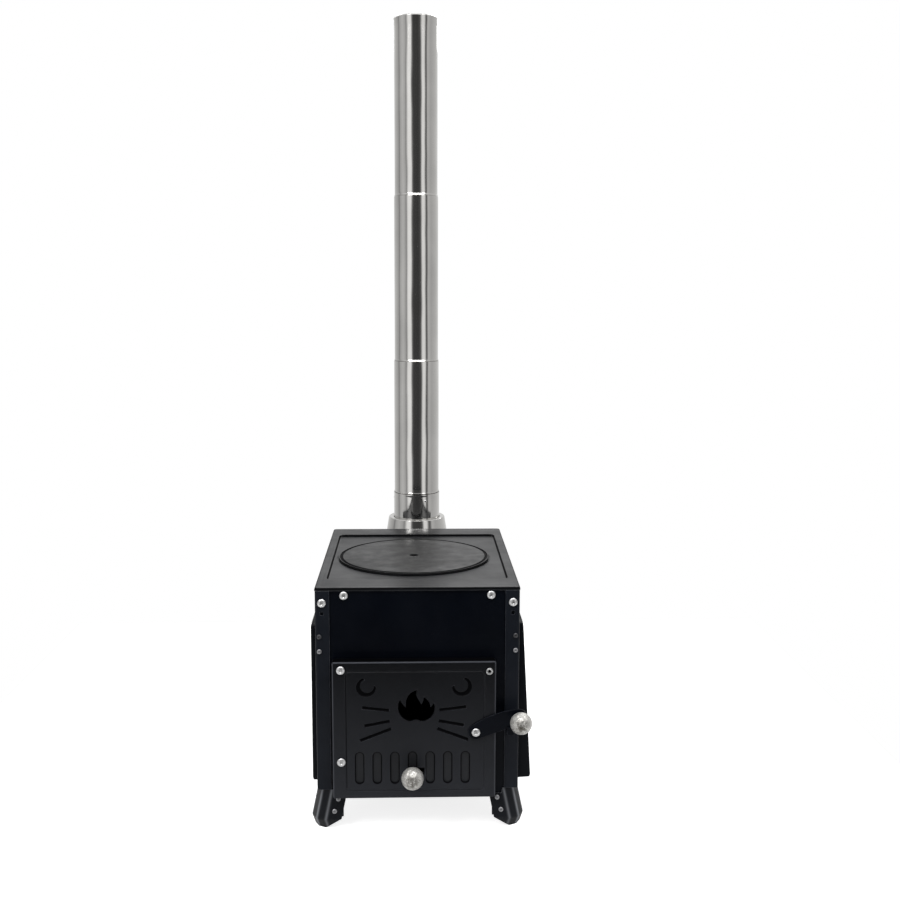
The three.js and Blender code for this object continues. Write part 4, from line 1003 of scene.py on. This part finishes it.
def obround(x, z, width, height, inset):
    """An upright slot."""
    r = width / 2 - inset
    half = height / 2 - width / 2
    return arc((x, z + half), r, 0, 180, 10) + arc((x, z - half), r, 180, 360, 10)


def slot_with_branch(x, z, width, height, branch_z, branch_half, branch_end, inset):
    """The slot that the damper knob's stem leaves sideways, to the right."""
    side, end, half = x + width / 2 - inset, branch_end - inset, branch_half - inset
    branch = [(side, -half), (end, -half), (end, half), (side, half)]
    return obround(x, z, width, height, inset) + [(across, branch_z + along) for across, along in branch]


def bezier(start, first, second, end, steps=8):
    """Points of a curve, all but its start."""
    points = []
    for i in range(1, steps + 1):
        t = i / steps
        a, b, c, d = (1 - t) ** 3, 3 * t * (1 - t) ** 2, 3 * t * t * (1 - t), t**3
        points.append(tuple(a * p + b * q + c * r + d * s for p, q, r, s in zip(start, first, second, end)))
    return points


def off_line(point, start, end):
    """How far a point is from a line between two others."""
    along = end - start
    share = max(0.0, min(1.0, (point - start).dot(along) / along.length_squared))
    return (point - start - along * share).length


def drawn_in(outline, inset):
    """An outline moved inwards, without the points that run into its own notches."""
    if not inset:
        return outline
    base = [Vector(place) for place in outline]
    made = []
    for i, place in enumerate(base):
        back = (place - base[i - 1]).normalized()
        ahead = (base[(i + 1) % len(base)] - place).normalized()
        inward = Vector((-(back.y + ahead.y), back.x + ahead.x))
        moved = place + inward.normalized() * inset * min(2.0, 2 / inward.length)
        nearest = min(off_line(moved, base[j - 1], base[j]) for j in range(len(base)))
        if nearest > 0.9 * abs(inset):
            made.append(tuple(moved))
    return made


# A plain three-tongued flame: handles and end of each curve, which starts where the one before it ends.
FLAME = [
    ((-17, -16), (-23, -5), (-18, 7)),
    ((-16, 2), (-13, -1), (-11, -2)),
    ((-12, 8), (-9, 15), (1, 18.5)),
    ((-2, 11), (3, 8), (6, 1)),
    ((8, 4), (9, 7), (9, 10)),
    ((14, 6), (16, 2), (16, -2)),
    ((18, -1), (19, 1), (20, 3)),
    ((23, -9), (16, -17), (6, -18)),
    ((2, -15.3), (-2, -15.3), (-6, -18)),
]


def flame(x, z):
    """The flame's outline, still to be drawn in."""
    points = []
    start = FLAME[-1][-1]
    for first, second, end in FLAME:
        points += bezier(start, first, second, end)
        start = end
    return partial(drawn_in, [(x + px, z + pz) for px, pz in reversed(points)])


def crescent(x, z, radius, towards, inset):
    """A crescent whose open side looks towards an angle."""
    opening = 54.4 + math.degrees(inset / radius)
    cut = radius * 0.72
    shift = radius * 0.16
    cx = x + shift * math.cos(math.radians(towards))
    cz = z + shift * math.sin(math.radians(towards))
    first, last = towards + opening, towards - opening + 360
    return arc((x, z), radius - inset, first, last, 26) + arc((cx, cz), cut + inset, last, first, 26)


def stroke(start, end, start_width, end_width, inset):
    """A straight stroke that is wider at its end."""
    along = Vector((end[0] - start[0], end[1] - start[1])).normalized()
    across = Vector((-along.y, along.x))
    points = []
    for place, width, ahead in ((start, start_width, 1), (end, end_width, -1)):
        at = Vector(place) + along * inset * ahead
        half = width / 2 - inset
        points += [tuple(at + across * half * turn) for turn in (ahead, -ahead)]
    return points


def rounded_line(x0, x1, z0, z1, corner, inset):
    """A rectangle with round corners."""
    half_x, half_z = (x1 - x0) / 2, (z1 - z0) / 2
    radius = max(corner - inset, 0.4)
    return sum(corner_arcs(x0 + half_x, z0 + half_z, half_x - inset, half_z - inset, radius), [])


def round_hole(x, z, radius, inset):
    return arc((x, z), radius - inset, 0, 345, 23)


def inside(point, outline):
    crossed = False
    for (x0, z0), (x1, z1) in zip(outline, outline[1:] + outline[:1]):
        if (z0 > point[1]) != (z1 > point[1]) and point[0] < (x1 - x0) * (point[1] - z0) / (z1 - z0) + x0:
            crossed = not crossed
    return crossed


def pressed_face(bm, rings, cuts):
    """Fills a sheet between rings of points, all but what lies within the cuts, and returns the rings'
    vertices."""
    flat, depths, edges = [], [], []
    for ring in rings:
        first = len(flat)
        flat += [Vector((x, z)) for x, _, z in ring]
        depths += [y for _, y, _ in ring]
        edges += [(first + i, first + (i + 1) % len(ring)) for i in range(len(ring))]
    places, _, faces, sources, _, _ = geometry.delaunay_2d_cdt(flat, edges, [], 0, 1e-6)
    verts = []
    for place, owners in zip(places, sources):
        # Where two rings cross there is a point of neither, which takes the depth of the nearest.
        if not owners:
            owners = [min(range(len(flat)), key=lambda i: (flat[i] - place).length_squared)]
        verts.append(bm.verts.new((place.x, depths[owners[0]], place.y)))
    for face in faces:
        centre = sum((places[i] for i in face), Vector((0, 0))) / len(face)
        if not any(inside(centre, cut) for cut in cuts):
            bm.faces.new([verts[i] for i in face])
    found = {source: vert for vert, owners in zip(verts, sources) for source in owners}
    start, made = 0, []
    for ring in rings:
        made.append([found[start + i] for i in range(len(ring))])
        start += len(ring)
    return made


DOOR_CORNER = 2.2
DOOR_FOOT_NOTCH = 4.0  # width of the notch along the lower edge


def door_edge(low, high, notches, inset, depth=None):
    """Ring of points round the door, drawn in by an inset, at a depth or at the rim, whose notches are on
    the left."""
    r = max(DOOR_CORNER - inset, 0.3)
    a0, a1, b0, b1 = low.x + inset + r, high.x - inset - r, low.z + inset + r, high.z - inset - r
    left, foot = low.x + inset, low.z + inset

    def at(x, z, y):
        return Vector((x, depth if depth is not None else y, z))

    points = [at(x, z, high.y) for x, z in arc((a1, b1), r, 0, 90, 5) + arc((a0, b1), r, 90, 180, 5)]
    for notch_top, bottom, back in notches:
        top = min(notch_top, b1 - 0.05)
        points += [at(left, top, high.y), at(left, top - 0.01, back)]
        if bottom > low.z:
            points += [at(left, bottom + 0.01, back), at(left, bottom, high.y)]
    last = notches[-1][2]
    points += [at(x, z, last) for x, z in arc((a0, b0), r, 180, 270, 5)]
    points += [at(low.x + DOOR_FOOT_NOTCH, foot, last), at(low.x + DOOR_FOOT_NOTCH + 0.01, foot, high.y)]
    return points + [at(x, z, high.y) for x, z in arc((a1, b0), r, 270, 360, 5)]


# Places on the door, from its middle across and from its upper or lower edge.
SLOTS_BESIDE = 3  # on either side of the middle slot
SLOT_PITCH = 19.8
SLOT_WIDTH = 8.5
SLOT_HEIGHT = 36.0
SLOT_SHIFT = -2.0
SLOT_RISE = 36.0
STEM_HALF = 2.7  # half the height of the branch for the damper knob's stem
FLAME_SHIFT = 2.0
FLAME_DROP = 51.0
EYELET_HOLE = 3.0
CRESCENT_SHIFT = 53.5
CRESCENT_DROP = 29.0
CRESCENT_RADIUS = 11.0
CRESCENT_TURN = 34.4
RAYS = (((28, -5), (58, -1.5)), ((27.5, -17.5), (55.5, -23)), ((26, -26.5), (60.5, -40)))  # from the flame
RAY_WIDTHS = (3.0, 3.8)
BORDER = {"left": 14, "right": 12, "lower": 8, "upper": 10, "corner": 5}  # from the door's edges
BORDER_WIDTH = 2.0
BRACKET_GAPS = (1.5, 1.0, 0.6)  # above, below and behind each hinge bracket
FOOT_NOTCH_TOP = 45.0  # above the floor
FOOT_NOTCH_DEPTH = 2.0
RIM_ROUNDING = 0.25


def door_cuts(low, high):
    """Outlines of the flame, the eyelet's hole and the air slots."""
    centre_x = (low.x + high.x) / 2
    eyelet = middle("door_eyelet")
    cuts = [flame(centre_x + FLAME_SHIFT, high.z - FLAME_DROP)]
    cuts.append(partial(round_hole, eyelet.x, eyelet.z, EYELET_HOLE))
    slot_x = centre_x + SLOT_SHIFT
    branch = (middle("damper_knob").z, STEM_HALF, slot_x + SLOT_PITCH / 2 + STEM_HALF)
    for i in range(-SLOTS_BESIDE, SLOTS_BESIDE + 1):
        place = (slot_x + i * SLOT_PITCH, low.z + SLOT_RISE, SLOT_WIDTH, SLOT_HEIGHT)
        cuts.append(partial(obround, *place) if i else partial(slot_with_branch, *place, *branch))
    return cuts


def door_grooves(low, high):
    """Outlines of the crescent and the three rays on each side."""
    centre_x = (low.x + high.x) / 2
    grooves = []
    for side in (-1, 1):
        place = (centre_x + side * CRESCENT_SHIFT, high.z - CRESCENT_DROP)
        grooves.append(partial(crescent, *place, CRESCENT_RADIUS, 90 + side * CRESCENT_TURN))
        for ray in RAYS:
            start, end = ((centre_x + side * x, high.z - FLAME_DROP + z) for x, z in ray)
            grooves.append(partial(stroke, start, end, *RAY_WIDTHS))
    return grooves


def door():
    """The pan-shaped door: a pressed face with its cut-outs, rounded folds and walls with their notches."""
    low, high = box("door_panel")
    front = low.y
    inner = front + DOOR_FACE
    cuts = door_cuts(low, high)
    across = (low.x + BORDER["left"], high.x - BORDER["right"])
    along = (low.z + BORDER["lower"], high.z - BORDER["upper"])
    border = partial(rounded_line, *across, *along, BORDER["corner"])
    above, below, behind = BRACKET_GAPS
    brackets = [box("hinge_bracket_upper"), box("hinge_bracket_lower")]
    notches = [(top.z + above, bottom.z - below, inner + behind) for bottom, top in brackets]
    notches.append((FOOT_NOTCH_TOP, low.z, high.y - FOOT_NOTCH_DEPTH))
    bm = bmesh.new()

    def pressed_ring(outline, inset, drop):
        return [Vector((x, front + drop, z)) for x, z in outline(inset)]

    def wall_row(last, points):
        row = [bm.verts.new(point) for point in points]
        strip_faces(bm, last, row)
        return row

    rings = [door_edge(low, high, notches, inset, front) for inset in (DOOR_FOLD + 0.8, DOOR_FOLD)]
    for groove in door_grooves(low, high):
        rings += [pressed_ring(groove, inset, drop) for inset, drop in GROOVE]
    # The border line is pressed between two outlines.
    for inset, drop in LINE:
        rings += [pressed_ring(border, reach, drop) for reach in (inset, BORDER_WIDTH - inset)]
    rim_rings = []
    for index, cut in enumerate(cuts):
        rings += [pressed_ring(cut, inset, drop) for inset, drop in (SLOT_RIM if index > 1 else RIM)]
        rim_rings.append(len(rings) - 1)
    holes = [cut(0.0) for cut in cuts]
    made = pressed_face(bm, rings, holes)
    # Fold, outer wall, rim and inner wall.
    last = made[1]
    for step in range(1, 6):
        angle = math.pi / 2 * step / 5
        inset, depth = DOOR_FOLD * (1 - math.sin(angle)), front + DOOR_FOLD * (1 - math.cos(angle))
        last = wall_row(last, door_edge(low, high, notches, inset, depth))
    soft = RIM_ROUNDING
    for inset, lift in ((0.0, -soft), (soft, 0.0), (DOOR_SHEET - soft, 0.0), (DOOR_SHEET, -soft)):
        last = wall_row(last, [p + Vector((0, lift, 0)) for p in door_edge(low, high, notches, inset)])
    back_rings = [door_edge(low, high, notches, DOOR_SHEET, inner)]
    back_rings += [[Vector((x, inner, z)) for x, z in hole] for hole in holes]
    back_made = pressed_face(bm, back_rings, holes)
    strip_faces(bm, last, back_made[0])
    for index, back_ring in zip(rim_rings, back_made[1:]):
        strip_faces(bm, made[index], back_ring)
    # Painted highlights on the door's front folds; elsewhere painted light that grows towards the lower edge.
    painted_light = bm.verts.layers.float.new("painted_light")
    for vert in bm.verts:
        edge_gap = min(vert.co.x - low.x, high.x - vert.co.x, high.z - vert.co.z)
        folded = edge_gap < 0.8 * DOOR_FOLD and vert.co.y < front + 0.8 * DOOR_FOLD
        lower_painted_light = DOOR_LOWER_LIGHT * (high.z - vert.co.z) / (high.z - low.z)
        vert[painted_light] = DOOR_FOLD_HIGHLIGHT if folded else lower_painted_light

    # Painted shade in the pressed ornament and round the cut-outs, and on the door's upper wall.
    def in_painted_shade(at):
        margin = min(at.x - low.x, high.x - at.x, at.z - low.z, high.z - at.z)
        pressed = margin > ORNAMENT_MARGIN and front + SHADED_DROP < at.y < inner - 0.01
        return pressed or (at.z > high.z - 0.3 and front + DOOR_FOLD < at.y)

    darken(bm, in_painted_shade)
    new_piece("door_panel_pressed", bm, "door", "door_paint", ["door_panel"], sharp=48)


# --- the whole stove

add_camera()
add_world()
add_floor()
add_light("key", (0, -0.8, 1.9), (0, 0, 0.2), (2.0, 0.6), 26)
add_light("left", (-1.3, -1.5, 1.9), (0, 0, 0.2), (0.7, 0.7), 12)
add_light("right", (1.4, -1.3, 1.9), (0, 0, 0.2), (0.7, 0.7), 4)
add_light("back", (0.3, 1.6, 1.6), (0, 0.1, 0.4), (1.2, 0.8), 10)

top_plate()
cook_lid()
door()
adapter_and_collar()
chimney = ("flue_adapter", "pipe_lower", "pipe_middle", "pipe_upper")
for order, (below, pipe_node) in enumerate(zip(chimney, chimney[1:])):
    pipe(pipe_node, box(below)[1].z + PIPE_REST, pipe_node == chimney[-1], 11.7 * order)
for knob_node in KNOB_GAPS:
    knob(knob_node)
add_screws()
for side_name, side_sign in (("left", -1), ("right", 1)):
    for end_name, end_sign in (("front", -1), ("rear", 1)):
        leg(f"leg_{end_name}_{side_name}", side_sign, end_sign)
        tab_gusset(side_sign, end_sign)
shelf("side_shelf_left", -1, "shelf_left_fold", 0.0)
shelf("side_shelf_right", 1, "shelf_right_fold", RIGHT_SHELF_OPEN)

sheet_nodes = [
    "front_panel", "rear_panel", "side_panel_left", "side_panel_right", "base_plate",
    "grate_rail_left", "grate_rail_right", "fire_grate", "flue_box", "door_catch",
    "hinge_bracket_upper", "hinge_bracket_lower", "door_hinge_upper", "door_hinge_lower",
    "damper_guide_upper", "damper_guide_lower", "door_eyelet",
]
for sheet_node in sheet_nodes:
    refined(sheet_node, edge=0.3)
# The posts take the lighter, lit copy of the body paint.
for end_name in ("front", "rear"):
    for side_name in ("left", "right"):
        refined(f"post_{end_name}_{side_name}", edge=0.35, material="lit_post_paint")
refined("damper_plate", edge=0.3, material="damper_paint")
refined("latch_arm", edge=0.55, segments=3)

bpy.context.scene.view_settings.view_transform = "Standard"
